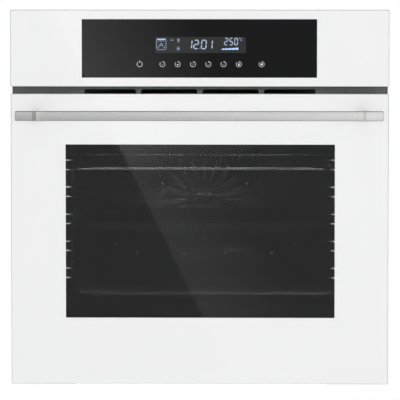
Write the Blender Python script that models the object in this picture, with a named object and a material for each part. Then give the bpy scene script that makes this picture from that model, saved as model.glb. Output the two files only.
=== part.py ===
"""A built-in wall oven, as an assembly of its separate pieces.

Lengths are written in millimetres and become metres where a mesh is made. +X is
to the right of someone who faces the oven, +Z is up, and the door faces -Y. While
a piece is laid out, y = 0 is the outer face of the door's glass; MIDDLE_Y moves
the finished oven so that its origin is under the middle of its bounding box.
"""

import math

import bmesh
import bpy
from mathutils import Matrix, Vector

MM = 0.001
CLEAR = 0.3  # gap between pieces that touch

# Front of the appliance
FRONT_WIDTH = 595.0
FRONT_TOP = 595.0
DOOR_WIDTH = 594.0
DOOR_BOTTOM = 5.0
DOOR_TOP = 463.4
FASCIA_BOTTOM = 474.6
FRONT_GLASS = 4.0
CORNER = 2.5

# Chassis
SHEET = 1.2
CHASSIS_HALF = 277.0
CHASSIS_TOP = 586.7
REAR_FACE = 559.7
FLANGE_Y = 22.0
FRAME_FACE = 46.0
WEB_X = 270.0

# Door and its hinge
PIVOT_Y = 14.0
PIVOT_Z = 24.0
STILE_IN = 251.0
STILE_OUT = 291.0
REAR_HALF = 266.0
STEP_Y = 17.0
PANE_BACK = 34.0
PANE_GLASS = 4.0
MIDDLE_PANE = 3.0
MIDDLE_PANE_FRONTS = (13.0, 23.0)
HINGE_X = 260.5

# Handle
HANDLE_Z = 430.0
HANDLE_HALF = 287.5
HANDLE_HEIGHT = 15.0
HANDLE_DEPTH = 12.0
HANDLE_FRONT = -43.0
POST_X = 256.0

# Cooking cavity
CAVITY_HALF = 230.0
CAVITY_FLOOR = 92.0
CAVITY_CEILING = 428.0
CAVITY_MOUTH = 47.6
CAVITY_REAR = 459.0
CAVITY_WALL = 1.5
CAVITY_CORNER = 30.0
LEVELS = [167.0 + 43.2 * n for n in range(5)]
RUNNER_GAP = 15.0
RUNNER_X = 205.5
RUNNER_RADIUS = 2.0
ROD_X = 224.0
ROD_RADIUS = 2.5
RACK_FRONT = 72.0
RACK_REAR = 398.0
TRAY_LEVEL = 2
SHELF_LEVEL = 4

# Convection fan, at the middle of the rear wall
FAN_Z = 269.0
FAN_RADIUS = 72.0
BAFFLE_FACE = 426.0
BAFFLE_SLOTS = 20
RING_RADIUS = 95.0
HEATER_RADIUS = 3.5
LAMP = (190.0, 388.0)
PROBE = (-190.0, 405.0)

# Cooling blower, on the heat shield
SHIELD_Z = 456.0
BLOWER_Y = 346.0
WHEEL_RADIUS = 60.0

REARMOST = 572.0
MIDDLE_Y = (HANDLE_FRONT + REARMOST) / 2

MATERIALS = {
    "white_glass": ((0.86, 0.87, 0.87), 0.05, 0.0),
    "clear_glass": ((0.10, 0.11, 0.11), 0.05, 0.0),
    "brushed_steel": ((0.60, 0.61, 0.62), 0.32, 1.0),
    "galvanised_steel": ((0.52, 0.54, 0.55), 0.42, 1.0),
    "painted_steel": ((0.10, 0.10, 0.11), 0.45, 0.0),
    "enamel": ((0.035, 0.036, 0.04), 0.18, 0.0),
    "chrome_wire": ((0.75, 0.76, 0.77), 0.15, 1.0),
    "heater": ((0.09, 0.085, 0.08), 0.5, 0.6),
    "silicone": ((0.03, 0.03, 0.03), 0.7, 0.0),
    "mineral_wool": ((0.72, 0.68, 0.55), 0.95, 0.0),
    "grey_plastic": ((0.20, 0.20, 0.21), 0.55, 0.0),
    "black_plastic": ((0.02, 0.02, 0.022), 0.4, 0.0),
    "circuit_board": ((0.03, 0.16, 0.07), 0.5, 0.0),
    "ceramic": ((0.82, 0.79, 0.72), 0.4, 0.0),
    "motor_steel": ((0.38, 0.39, 0.40), 0.4, 1.0),
}


def start_empty():
    for obj in list(bpy.data.objects):
        bpy.data.objects.remove(obj, do_unlink=True)


def material(name):
    found = bpy.data.materials.get(name)
    if found:
        return found
    colour, roughness, metallic = MATERIALS[name]
    made = bpy.data.materials.new(name)
    made.use_nodes = True
    shader = made.node_tree.nodes["Principled BSDF"]
    shader.inputs["Base Color"].default_value = (*colour, 1)
    shader.inputs["Roughness"].default_value = roughness
    shader.inputs["Metallic"].default_value = metallic
    return made


# ---- meshes, in millimetres ----


def box(low, high):
    bm = bmesh.new()
    bmesh.ops.create_cube(bm, size=1)
    size = [high[i] - low[i] for i in range(3)]
    middle = [(high[i] + low[i]) / 2 for i in range(3)]
    bmesh.ops.transform(
        bm,
        matrix=Matrix.Translation(middle) @ Matrix.Diagonal((*size, 1)),
        verts=bm.verts,
    )
    return bm


def prism(outline, axis, start, end):
    """A closed outline of (a, b) points swept along an axis. For x, y and z the
    outline lies in (y, z), (x, z) and (x, y)."""
    place = {
        "x": lambda a, b, t: (t, a, b),
        "y": lambda a, b, t: (a, t, b),
        "z": lambda a, b, t: (a, b, t),
    }[axis]
    bm = bmesh.new()
    rings = [
        [bm.verts.new(place(a, b, t)) for a, b in outline] for t in (start, end)
    ]
    for i in range(len(outline)):
        j = (i + 1) % len(outline)
        bm.faces.new((rings[0][i], rings[0][j], rings[1][j], rings[1][i]))
    bm.faces.new(rings[0])
    bm.faces.new(rings[1])
    bmesh.ops.recalc_face_normals(bm, faces=bm.faces)
    return bm


def arc(centre, radius, start, end, steps):
    """Points on an arc, from one angle in degrees to another."""
    angles = [math.radians(start + (end - start) * i / steps) for i in range(steps + 1)]
    return [
        (centre[0] + radius * math.cos(a), centre[1] + radius * math.sin(a))
        for a in angles
    ]


def rounded(left, right, bottom, top, radius, steps=3):
    """A rectangle with round corners."""
    corners = (
        (right - radius, top - radius, 0),
        (left + radius, top - radius, 90),
        (left + radius, bottom + radius, 180),
        (right - radius, bottom + radius, 270),
    )
    points = []
    for x, z, start in corners:
        points += arc((x, z), radius, start, start + 90, steps)
    return points


def loft(loops, ring=False):
    """Bridges loops of equal counts. The two end loops are capped, or joined to
    each other when the loops run round a tube."""
    bm = bmesh.new()
    made = [[bm.verts.new(p) for p in loop] for loop in loops]
    pairs = list(zip(made, made[1:]))
    if ring:
        pairs.append((made[-1], made[0]))
    for one, other in pairs:
        for i in range(len(one)):
            j = (i + 1) % len(one)
            bm.faces.new((one[i], one[j], other[j], other[i]))
    if not ring:
        bm.faces.new(made[0])
        bm.faces.new(made[-1])
    bmesh.ops.recalc_face_normals(bm, faces=bm.faces)
    return bm


def at_y(outline, y):
    return [(x, y, z) for x, z in outline]


def at_z(outline, z):
    return [(x, y, z) for x, y in outline]


def cylinder(start, end, radius, sides=24, end_radius=None):
    """A round bar or cone between two points."""
    start, end = Vector(start), Vector(end)
    bm = bmesh.new()
    bmesh.ops.create_cone(
        bm,
        cap_ends=True,
        segments=sides,
        radius1=radius,
        radius2=radius if end_radius is None else end_radius,
        depth=(end - start).length,
    )
    turn = Vector((0, 0, 1)).rotation_difference(end - start).to_matrix().to_4x4()
    bmesh.ops.transform(
        bm, matrix=Matrix.Translation((start + end) / 2) @ turn, verts=bm.verts
    )
    return bm


def round_corners(path, radius, steps=3):
    """Replaces each inner point of a path with a short curve of this radius."""
    points = [Vector(p) for p in path]
    made = [points[0]]
    for before, corner, after in zip(points, points[1:], points[2:]):
        into = (corner - before).normalized()
        out = (after - corner).normalized()
        turn = into.angle(out, 0)
        if turn < 0.01:
            made.append(corner)
            continue
        back = radius * math.tan(turn / 2)
        start, end = corner - into * back, corner + out * back
        for i in range(steps + 1):
            t = i / steps
            made.append((1 - t) ** 2 * start + 2 * t * (1 - t) * corner + t * t * end)
    made.append(points[-1])
    return made


def wire(path, radius, sides=6, closed=False):
    """A round wire along a path."""
    points = [Vector(p) for p in path]
    count = len(points)
    bm = bmesh.new()
    rings = []
    normal = None
    for i, point in enumerate(points):
        ahead = points[(i + 1) % count] - point
        behind = point - points[i - 1]
        if not closed and i == 0:
            behind = ahead
        if not closed and i == count - 1:
            ahead = behind
        ahead.normalize()
        behind.normalize()
        along = (ahead + behind).normalized()
        if normal is None:
            normal = along.orthogonal().normalized()
        normal = (normal - along * normal.dot(along)).normalized()
        side = along.cross(normal)
        rings.append(
            [
                bm.verts.new(
                    point
                    + radius * math.cos(2 * math.pi * k / sides) * normal
                    + radius * math.sin(2 * math.pi * k / sides) * side
                )
                for k in range(sides)
            ]
        )
    spans = list(zip(rings, rings[1:]))
    if closed:
        spans.append((rings[-1], rings[0]))
    for one, other in spans:
        for k in range(sides):
            m = (k + 1) % sides
            bm.faces.new((one[k], one[m], other[m], other[k]))
    if not closed:
        bm.faces.new(rings[0])
        bm.faces.new(rings[-1])
    bmesh.ops.recalc_face_normals(bm, faces=bm.faces)
    return bm


def mirrored(bm, side):
    """The same shape on the left for side = -1."""
    if side < 0:
        bmesh.ops.scale(bm, vec=(-1, 1, 1), verts=bm.verts)
        bmesh.ops.reverse_faces(bm, faces=bm.faces)
    return bm


def joined(meshes):
    """Several separate shapes in one mesh, for cutters."""
    whole = bmesh.new()
    for bm in meshes:
        mesh = bpy.data.meshes.new("passing")
        bm.to_mesh(mesh)
        bm.free()
        whole.from_mesh(mesh)
        bpy.data.meshes.remove(mesh)
    return whole


# ---- objects ----


def place(name, bm, origin=(0, 0, 0)):
    """Makes an object in metres, with its own origin at a point given in millimetres."""
    bmesh.ops.translate(bm, vec=-Vector(origin), verts=bm.verts)
    bmesh.ops.scale(bm, vec=(MM, MM, MM), verts=bm.verts)
    mesh = bpy.data.meshes.new(name)
    bm.to_mesh(mesh)
    bm.free()
    obj = bpy.data.objects.new(name, mesh)
    obj.location = (Vector(origin) - Vector((0, MIDDLE_Y, 0))) * MM
    bpy.context.scene.collection.objects.link(obj)
    return obj


def piece(name, bm, material_name, origin=(0, 0, 0), smooth=False):
    obj = place(name, bm, origin)
    obj.data.materials.append(material(material_name))
    if smooth:
        obj.data.shade_smooth()
        obj.data.set_sharp_from_angle(angle=math.radians(35))
    return obj


def helper(name, bm, collection=None):
    """A cutter, or a body that a Boolean joins on. It isn't a piece of the oven."""
    obj = place(name, bm)
    obj.hide_render = True
    obj.display_type = "WIRE"
    if collection:
        bpy.context.scene.collection.objects.unlink(obj)
        collection.objects.link(obj)
    return obj


def cut(obj, meshes):
    """Cuts shapes that don't touch each other out of a piece."""
    modifier = obj.modifiers.new("openings", "BOOLEAN")
    modifier.operation = "DIFFERENCE"
    modifier.object = helper(obj.name + ".cutter", joined(meshes))
    return obj


def fuse(obj, meshes):
    """Joins shapes that overlap a piece, or each other, to it as one body."""
    collection = bpy.data.collections.new(obj.name + ".joins")
    bpy.context.scene.collection.children.link(collection)
    for number, bm in enumerate(meshes):
        helper(f"{obj.name}.join{number}", bm, collection)
    modifier = obj.modifiers.new("welds", "BOOLEAN")
    modifier.operation = "UNION"
    modifier.operand_type = "COLLECTION"
    modifier.collection = collection
    return obj


# ---- chassis ----


def base_plate():
    half, upstand = CHASSIS_HALF - 2.5, 16.0
    outline = [
        (-half, 0),
        (half, 0),
        (half, upstand),
        (half - SHEET, upstand),
        (half - SHEET, SHEET),
        (-half + SHEET, SHEET),
        (-half + SHEET, upstand),
        (-half, upstand),
    ]
    piece("base_plate", prism(outline, "y", 48, 556), "galvanised_steel")


def side_panels():
    lip, top = 22.0, 585.0
    outline = [
        (CHASSIS_HALF - SHEET, 2),
        (CHASSIS_HALF, 2),
        (CHASSIS_HALF, top),
        (CHASSIS_HALF - lip, top),
        (CHASSIS_HALF - lip, top - SHEET),
        (CHASSIS_HALF - SHEET, top - SHEET),
    ]
    for name, side in (("left", -1), ("right", 1)):
        panel = mirrored(prism(outline, "y", 40, 558), side)
        piece(f"{name}_side_panel", panel, "galvanised_steel")


def slot_rows(centres_a, centres_b, length, width, make):
    """Cutters for a field of slots. make(a0, a1, b0, b1) gives one."""
    return [
        make(a - length / 2, a + length / 2, b - width / 2, b + width / 2)
        for a in centres_a
        for b in centres_b
    ]


def top_cover():
    low = CHASSIS_TOP - SHEET
    plate = piece(
        "top_cover",
        box((-CHASSIS_HALF, 24, low), (CHASSIS_HALF, 558, CHASSIS_TOP)),
        "galvanised_steel",
    )
    slots = slot_rows(
        [-100, -50, 0, 50, 100],
        [300, 330, 360, 390],
        34,
        6,
        lambda a, b, c, d: box((a, c, low - 2), (b, d, CHASSIS_TOP + 2)),
    )
    cut(plate, slots)


GLAND = (-205.0, 548.0)


def rear_cover():
    front = REAR_FACE - SHEET
    outline = [
        (-CHASSIS_HALF, 2),
        (CHASSIS_HALF, 2),
        (CHASSIS_HALF, 585),
        (-CHASSIS_HALF, 585),
    ]
    cover = piece("rear_cover", prism(outline, "y", front, REAR_FACE), "galvanised_steel")
    slots = slot_rows(
        [-110, -55, 0, 55, 110],
        [70, 90, 110, 500, 520],
        40,
        6,
        lambda a, b, c, d: box((a, front - 2, c), (b, REAR_FACE + 2, d)),
    )
    hole = cylinder(
        (GLAND[0], front - 2, GLAND[1]), (GLAND[0], REAR_FACE + 2, GLAND[1]), 9
    )
    cut(cover, slots + [hole])


def front_frame():
    """The pressed frame behind the door: side flanges that meet the cabinet, webs,
    and the plate that the gasket seals on."""
    back, web_out, reach = FRAME_FACE + SHEET, WEB_X + SHEET, 296.0
    outline = [
        (-reach, FLANGE_Y),
        (-WEB_X, FLANGE_Y),
        (-WEB_X, FRAME_FACE),
        (WEB_X, FRAME_FACE),
        (WEB_X, FLANGE_Y),
        (reach, FLANGE_Y),
        (reach, FLANGE_Y + SHEET),
        (web_out, FLANGE_Y + SHEET),
        (web_out, back),
        (-web_out, back),
        (-web_out, FLANGE_Y + SHEET),
        (-reach, FLANGE_Y + SHEET),
    ]
    frame = piece("front_frame", prism(outline, "z", 2, 583), "painted_steel")
    mouth = prism(rounded(-238, 238, 84, 436, 24), "y", 44, 49)
    above = box((-256, 44, 460), (256, 49, 600))
    swing = [
        mirrored(box((262, 18, -5), (300, 45, 38)), side) for side in (-1, 1)
    ]
    hinge_slots = [
        mirrored(box((HINGE_X - 3, 45.2, 30), (HINGE_X + 3, 49, 52)), side)
        for side in (-1, 1)
    ]
    screw_holes = [
        cylinder((side * 285, 20, z), (side * 285, 26, z), 2.6, 12)
        for side in (-1, 1)
        for z in (130, 420)
    ]
    cut(frame, [mouth, above] + swing + hinge_slots + screw_holes)


REAR_WALL_HOLES = (
    (0.0, FAN_Z, 6.0),
    (-12.0, FAN_Z - RING_RADIUS, 5.0),
    (12.0, FAN_Z - RING_RADIUS, 5.0),
    (-15.0, 412.0, 5.0),
    (15.0, 412.0, 5.0),
    (LAMP[0], LAMP[1], 26.0),
    (PROBE[0], PROBE[1], 4.5),
)


def wall_bores(y0, y1, wider=0.0):
    return [
        cylinder((x, y0, z), (x, y1, z), radius + wider, 16 if radius < 10 else 28)
        for x, z, radius in REAR_WALL_HOLES
    ]


def cavity():
    inner = rounded(
        -CAVITY_HALF, CAVITY_HALF, CAVITY_FLOOR, CAVITY_CEILING, CAVITY_CORNER, 4
    )
    w = CAVITY_WALL
    outer = rounded(
        -CAVITY_HALF - w,
        CAVITY_HALF + w,
        CAVITY_FLOOR - w,
        CAVITY_CEILING + w,
        CAVITY_CORNER + w,
        4,
    )
    flange = rounded(-262, 262, 68, 452, 30, 4)
    liner = loft(
        [
            at_y(inner, CAVITY_REAR),
            at_y(inner, CAVITY_MOUTH),
            at_y(flange, CAVITY_MOUTH),
            at_y(flange, CAVITY_MOUTH + w),
            at_y(outer, CAVITY_MOUTH + w),
            at_y(outer, CAVITY_REAR + w),
        ]
    )
    obj = piece("cavity", liner, "enamel")
    cut(obj, wall_bores(CAVITY_REAR - 3, CAVITY_REAR + w + 3))


WOOL_INSIDE = 461.0
WOOL_REAR = 482.0


def insulation():
    """A mineral wool blanket round the cavity, with room for the lower heater."""
    front = CAVITY_MOUTH + CAVITY_WALL + 0.5
    inner = rounded(-232, 232, 79, 430, 24, 3)
    outer = rounded(-254, 254, 60, 454, 40, 3)
    blanket = loft(
        [
            at_y(inner, WOOL_INSIDE),
            at_y(inner, front),
            at_y(outer, front),
            at_y(outer, WOOL_REAR),
        ]
    )
    obj = piece("insulation", blanket, "mineral_wool")
    lower = [
        cylinder((x, WOOL_INSIDE - 3, 85), (x, WOOL_REAR + 3, 85), 5.5, 12)
        for x in (-20, 20)
    ]
    cut(obj, wall_bores(WOOL_INSIDE - 3, WOOL_REAR + 3, 2.0) + lower)


def heat_shield():
    half, drop, top = 274.6, 10.0, SHIELD_Z + SHEET
    outline = [
        (-half, SHIELD_Z - drop),
        (-half + SHEET, SHIELD_Z - drop),
        (-half + SHEET, SHIELD_Z),
        (half - SHEET, SHIELD_Z),
        (half - SHEET, SHIELD_Z - drop),
        (half, SHIELD_Z - drop),
        (half, top),
        (-half, top),
    ]
    piece("heat_shield", prism(outline, "y", 48, 530), "galvanised_steel")


def door_gasket():
    path = [(x, 42, z) for x, z in rounded(-242, 242, 80, 440, 24, 4)]
    piece("door_gasket", wire(path, 3.6, 8, closed=True), "silicone", smooth=True)


VENT_SLOTS = ((-182, -101), (-92.5, -4.3), (4.3, 92.5), (101, 182))
VENT_TOP = 469.8


def vent_trim():
    """The recessed strip between door and fascia, with the four air slots."""
    outline = [
        (18, 453),
        (45.6, 453),
        (45.6, 454.2),
        (19.2, 454.2),
        (19.2, 477),
        (18, 477),
    ]
    trim = piece("vent_trim", prism(outline, "x", -294, 294), "painted_steel")
    slots = []
    for left, right in VENT_SLOTS:
        slots.append(prism(rounded(left, right, 455.5, VENT_TOP, 3.5, 2), "y", 16, 21))
    behind = [
        mirrored(box((WEB_X - 1, 20.5, 450), (300, 48, 456)), side) for side in (-1, 1)
    ]
    cut(trim, slots + behind)


# ---- controls ----


def fascia():
    outline = rounded(
        -FRONT_WIDTH / 2, FRONT_WIDTH / 2, FASCIA_BOTTOM, FRONT_TOP, CORNER
    )
    piece("fascia_glass", prism(outline, "y", 0, FRONT_GLASS), "white_glass")

    front, floor, back = FRONT_GLASS + CLEAR, 17.8, 20.0
    inner = rounded(-288, 288, 480, 589.5, 4)
    outer = rounded(-290, 290, 478, 591.5, 6)
    carrier = loft(
        [
            at_y(inner, floor),
            at_y(inner, front),
            at_y(outer, front),
            at_y(outer, back),
        ]
    )
    obj = piece("fascia_carrier", carrier, "grey_plastic")
    cut(obj, [box((-60, floor - 2, 500), (60, back + 2, 530))])


def electronics():
    piece("touch_board", box((-172, 8.1, 494), (172, 9.7, 576)), "circuit_board")
    piece("display_module", box((-75, 4.7, 521), (81, 7.8, 559)), "black_plastic")

    inner = rounded(-148, 148, 28, 138, 4)
    outer = rounded(-150, 150, 26, 140, 6)
    tray = loft(
        [at_z(inner, 492), at_z(inner, 555), at_z(outer, 555), at_z(outer, 490)]
    )
    piece("control_housing", tray, "grey_plastic")

    board = piece(
        "control_board", box((-140, 34, 496), (140, 132, 497.6)), "circuit_board"
    )
    relays = [
        box((x, 95, 497), (x + 20, 111, 513)) for x in (-130, -104, -78, -52)
    ]
    transformer = box((60, 60, 497), (104, 100, 532))
    connector = box((-30, 40, 497), (30, 50, 509))
    fuse(board, relays + [transformer, connector])


# ---- cavity fittings ----


def side_racks():
    """Chrome wire ladders: each level is a pair of wires that a shelf slides between."""
    for name, side in (("left", -1), ("right", 1)):
        low, high = LEVELS[0] - 22, LEVELS[-1] + RUNNER_GAP + 18
        rods = []
        for y in (RACK_FRONT - 2, RACK_REAR + 2):
            path = [(ROD_X, y, low), (ROD_X, y, high)]
            rods.append(wire(path, ROD_RADIUS, 8))
        for y in (RACK_FRONT - 2, RACK_REAR + 2):
            for z in (low + 8, high - 8):
                pin = [(ROD_X, y, z), (CAVITY_HALF - CLEAR, y, z)]
                rods.append(wire(pin, 2.2, 6))
        for level in LEVELS:
            for z in (level, level + RUNNER_GAP):
                path = [
                    (ROD_X, RACK_FRONT - 2, z),
                    (RUNNER_X, RACK_FRONT + 4, z),
                    (RUNNER_X, RACK_REAR - 4, z),
                    (ROD_X, RACK_REAR + 2, z),
                ]
                rods.append(wire(path, RUNNER_RADIUS, 6))
        rods = [mirrored(rod, side) for rod in rods]
        rack = piece(f"{name}_side_rack", rods[0], "chrome_wire", smooth=True)
        fuse(rack, rods[1:])


def wire_shelf():
    half, front, rear, radius = 208.0, 62.0, 404.0, 3.0
    z = LEVELS[SHELF_LEVEL] + RUNNER_RADIUS + CLEAR + radius
    frame = [(x, y, z) for x, y in rounded(-half, half, front, rear, 14, 3)]
    shelf = piece(
        "wire_shelf", wire(frame, radius, 8, closed=True), "chrome_wire", smooth=True
    )
    above = z + radius + 0.4
    bars = [
        wire([(30 * n, front - 1, above), (30 * n, rear + 1, above)], 1.5, 6)
        for n in range(-6, 7)
    ]
    fuse(shelf, bars)


def baking_tray():
    front, rear, t = 64.0, 402.0, 1.2
    rim = LEVELS[TRAY_LEVEL] + RUNNER_RADIUS + CLEAR
    floor = rim - 24

    def ring(inset, z, radius):
        half = 211.0 - inset
        return at_z(rounded(-half, half, front + inset, rear - inset, radius, 3), z)

    pan = loft(
        [
            ring(24, floor + t, 16),
            ring(16, rim, 18),
            ring(14, rim + t, 20),
            ring(0, rim + t, 26),
            ring(0, rim, 26),
            ring(15, rim, 19),
            ring(24, floor, 16),
        ]
    )
    piece("baking_tray", pan, "enamel")


def fan_baffle():
    """The pressed cover in front of the fan, open to the rear wall."""
    t, back = SHEET, CAVITY_REAR - CLEAR
    inner = rounded(-160 + t, 160 - t, 124 + t, 390 - t, 24, 3)
    outer = rounded(-160, 160, 124, 390, 25, 3)
    cover = loft(
        [
            at_y(inner, BAFFLE_FACE + t),
            at_y(inner, back),
            at_y(outer, back),
            at_y(outer, BAFFLE_FACE),
        ]
    )
    obj = piece("fan_baffle", cover, "enamel")
    slots = []
    for n in range(BAFFLE_SLOTS):
        bar = box((28, BAFFLE_FACE - 2, -2.5), (70, BAFFLE_FACE + t + 2, 2.5))
        turn = Matrix.Translation((0, 0, FAN_Z)) @ Matrix.Rotation(
            2 * math.pi * n / BAFFLE_SLOTS, 4, "Y"
        )
        bmesh.ops.transform(bar, matrix=turn, verts=bar.verts)
        slots.append(bar)
    for side in (-1, 1):
        for z in (150, 205, 260, 315):
            slots.append(
                mirrored(box((156, 434, z), (164, 452, z + 40)), side)
            )
    cut(obj, slots)


def wheel(name, blades, material_name, centre, turn):
    """A radial fan wheel: a disc, blades round it, a rim and a shaft, about +Z.
    turn takes it to its place. blades holds count, inner and outer radius, height."""
    count, inside, outside, height, shaft = blades
    hub = cylinder((0, 0, 0), (0, 0, 1.5), outside, 32)
    rest = [cylinder((0, 0, 0.5), (0, 0, 9), 9, 16)]
    start, end = shaft
    rest.append(cylinder((0, 0, start), (0, 0, end), 3.5, 12))
    for n in range(count):
        blade = box((inside, -0.7, 0.5), (outside - 1, 0.7, height))
        spin = Matrix.Rotation(2 * math.pi * n / count, 4, "Z")
        tilt = Matrix.Translation((inside, 0, 0)) @ Matrix.Rotation(0.5, 4, "Z")
        back = Matrix.Translation((-inside, 0, 0))
        bmesh.ops.transform(blade, matrix=spin @ tilt @ back, verts=blade.verts)
        rest.append(blade)
    place_it = Matrix.Translation(centre) @ turn
    for bm in [hub] + rest:
        bmesh.ops.transform(bm, matrix=place_it, verts=bm.verts)
    obj = piece(name, hub, material_name, origin=centre, smooth=True)
    fuse(obj, rest)


def convection():
    disc_y = 454.0
    wheel(
        "convection_fan",
        (8, 30, FAN_RADIUS, 14, (-40, 1)),
        "motor_steel",
        (0, disc_y, FAN_Z),
        Matrix.Rotation(math.pi / 2, 4, "X"),
    )
    motor = cylinder((0, 486, FAN_Z), (0, 534, FAN_Z), 34, 28)
    obj = piece("convection_motor", motor, "motor_steel", smooth=True)
    fuse(
        obj,
        [
            box((-75, 482.6, FAN_Z - 16), (75, 486.5, FAN_Z + 16)),
            box((-24, 500, FAN_Z - 40), (24, 526, FAN_Z - 20)),
        ],
    )
    cut(obj, [cylinder((0, 480, FAN_Z), (0, 505, FAN_Z), 4.2, 16)])


def heaters():
    y, end_y = 447.0, 488.0
    ring = [
        (x, y, z) for x, z in arc((0, FAN_Z), RING_RADIUS, -82, 262, 28)
    ]
    low = FAN_Z - RING_RADIUS
    ring = [(12, end_y, low), (12, y + 6, low)] + ring + [(-12, y + 6, low), (-12, end_y, low)]
    piece("ring_element", wire(ring, HEATER_RADIUS, 6), "heater", smooth=True)

    z = 412.0
    columns = (-170, -100, -35, 35, 100, 170)
    path = [(-15, end_y, z), (-15, 420, z), (columns[0], 420, z)]
    for n, x in enumerate(columns):
        near, far = 95, 372
        if n in (0, len(columns) - 1):
            far = 420
        ends = (near, far) if n % 2 else (far, near)
        path += [(x, ends[0], z), (x, ends[1], z)]
    path += [(15, 420, z), (15, end_y, z)]
    clean = [p for p, q in zip(path, path[1:] + [None]) if p != q]
    tube = wire(round_corners(clean, 14, 2), HEATER_RADIUS, 6)
    piece("grill_element", tube, "heater", smooth=True)

    z = 85.0
    path = [
        (-20, end_y, z),
        (-20, 430, z),
        (-180, 430, z),
        (-180, 100, z),
        (180, 100, z),
        (180, 430, z),
        (20, 430, z),
        (20, end_y, z),
    ]
    tube = wire(round_corners(path, 18, 3), HEATER_RADIUS, 6)
    piece("bottom_element", tube, "heater", smooth=True)


def lamp():
    x, z = LAMP

    def ring(y, radius):
        return [(a, y, b) for a, b in arc((x, z), radius, 0, 360 * 27 / 28, 27)]

    cover = loft(
        [
            ring(445, 14),
            ring(447, 21),
            ring(461.5, 23),
            ring(461.5, 25.4),
            ring(447, 24),
            ring(443, 16),
        ]
    )
    piece("lamp_glass", cover, "clear_glass", smooth=True)
    socket = cylinder((x, 462, z), (x, 500, z), 22, 24)
    obj = piece("lamp_holder", socket, "ceramic", smooth=True)
    cut(obj, [cylinder((x, 458, z), (x, 474, z), 8, 16)])
    bulb = cylinder((x, 448.5, z), (x, 452, z), 3, 16, 6.5)
    obj = piece("lamp_bulb", bulb, "clear_glass", smooth=True)
    fuse(obj, [cylinder((x, 451.9, z), (x, 473.5, z), 6.5, 16)])


def probe():
    x, z = PROBE
    rod = piece(
        "temperature_probe",
        cylinder((x, 404, z), (x, 487, z), 3, 12),
        "chrome_wire",
        smooth=True,
    )
    fuse(rod, [cylinder((x, 482.6, z), (x, 486, z), 9, 12)])


# ---- cooling air ----


def cooling():
    low, t = SHIELD_Z + SHEET + 0.4, 1.0

    def section(half, top, y, inset):
        return [
            (half - inset, y, top - inset),
            (-half + inset, y, top - inset),
            (-half + inset, y, low + inset),
            (half - inset, y, low + inset),
        ]

    mouth = (190, 475, 49.5)
    throat = (82, 496, 283.0)
    duct = loft(
        [
            section(*mouth, t),
            section(*throat, t),
            section(*throat, 0),
            section(*mouth, 0),
        ],
        ring=True,
    )
    piece("air_duct", duct, "galvanised_steel")

    top = 516.0
    housing = piece(
        "blower_housing",
        box((-84, 283.4, low), (84, 412, top)),
        "galvanised_steel",
    )
    inside = box((-84 + t, 283.4 + t, low + t), (84 - t, 412 - t, top - t))
    cut(housing, [inside])
    port = box((-81, 280, low + 1), (81, 290, 495))
    intake = cylinder((0, BLOWER_Y, top - 5), (0, BLOWER_Y, top + 5), 44, 32)
    second = housing.modifiers.new("port", "BOOLEAN")
    second.operation = "DIFFERENCE"
    second.object = helper("blower_housing.port", joined([port, intake]))

    base = 464.0
    wheel(
        "blower_wheel",
        (20, 44, WHEEL_RADIUS, 40, (1, 74)),
        "galvanised_steel",
        (0, BLOWER_Y, base),
        Matrix.Identity(4),
    )
    motor = cylinder((0, BLOWER_Y, 523), (0, BLOWER_Y, 562), 30, 28)
    obj = piece("blower_motor", motor, "motor_steel", smooth=True)
    bracket = [
        (20, 524),
        (60, 524),
        (60, top + CLEAR),
        (62, top + CLEAR),
        (62, 525.5),
        (20, 525.5),
    ]
    legs = []
    for n in range(3):
        leg = prism(bracket, "y", -7, 7)
        turn = Matrix.Translation((0, BLOWER_Y, 0)) @ Matrix.Rotation(
            2 * math.pi * (n + 0.25) / 3, 4, "Z"
        )
        bmesh.ops.transform(leg, matrix=turn, verts=leg.verts)
        legs.append(leg)
    fuse(obj, legs)
    cut(obj, [cylinder((0, BLOWER_Y, 515), (0, BLOWER_Y, 545), 4.2, 16)])

    disc = piece(
        "thermal_cutout",
        cylinder((140, 400, low), (140, 400, low + 6), 9, 20),
        "black_plastic",
    )
    fuse(disc, [box((129, 396, low), (151, 404, low + 2))])


def mains_inlet():
    x, z = GLAND
    block = piece(
        "terminal_block",
        box((x - 30, 524, z - 14), (x + 30, 548, z + 14)),
        "black_plastic",
    )
    ways = [
        box((x - 24 + 17 * n, 545, z - 9), (x - 14 + 17 * n, 550, z + 9))
        for n in range(3)
    ]
    cut(block, ways)
    body = cylinder((x, 551, z), (x, REARMOST, z), 8.4, 20)
    gland = piece("cable_gland", body, "black_plastic", smooth=True)
    collar = cylinder((x, REAR_FACE + CLEAR, z), (x, REAR_FACE + 6, z), 13, 6)
    nut = cylinder((x, 552, z), (x, REAR_FACE - SHEET - CLEAR, z), 12.5, 6)
    fuse(gland, [collar, nut])
    cut(gland, [cylinder((x, 545, z), (x, 580, z), 4.5, 16)])


# ---- door ----


def door_glass():
    outline = rounded(
        -DOOR_WIDTH / 2, DOOR_WIDTH / 2, DOOR_BOTTOM, DOOR_TOP, CORNER
    )
    piece("door_outer_glass", prism(outline, "y", 0, FRONT_GLASS), "white_glass")
    for name, y in zip(("front", "rear"), MIDDLE_PANE_FRONTS):
        pane = box((-253, y, 52.4), (253, y + MIDDLE_PANE, 431.6))
        piece(f"door_middle_glass_{name}", pane, "clear_glass")
    inner = rounded(-264, 264, 48, 446, 8)
    piece(
        "door_inner_glass",
        prism(inner, "y", PANE_BACK, PANE_BACK + PANE_GLASS),
        "clear_glass",
    )


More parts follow.
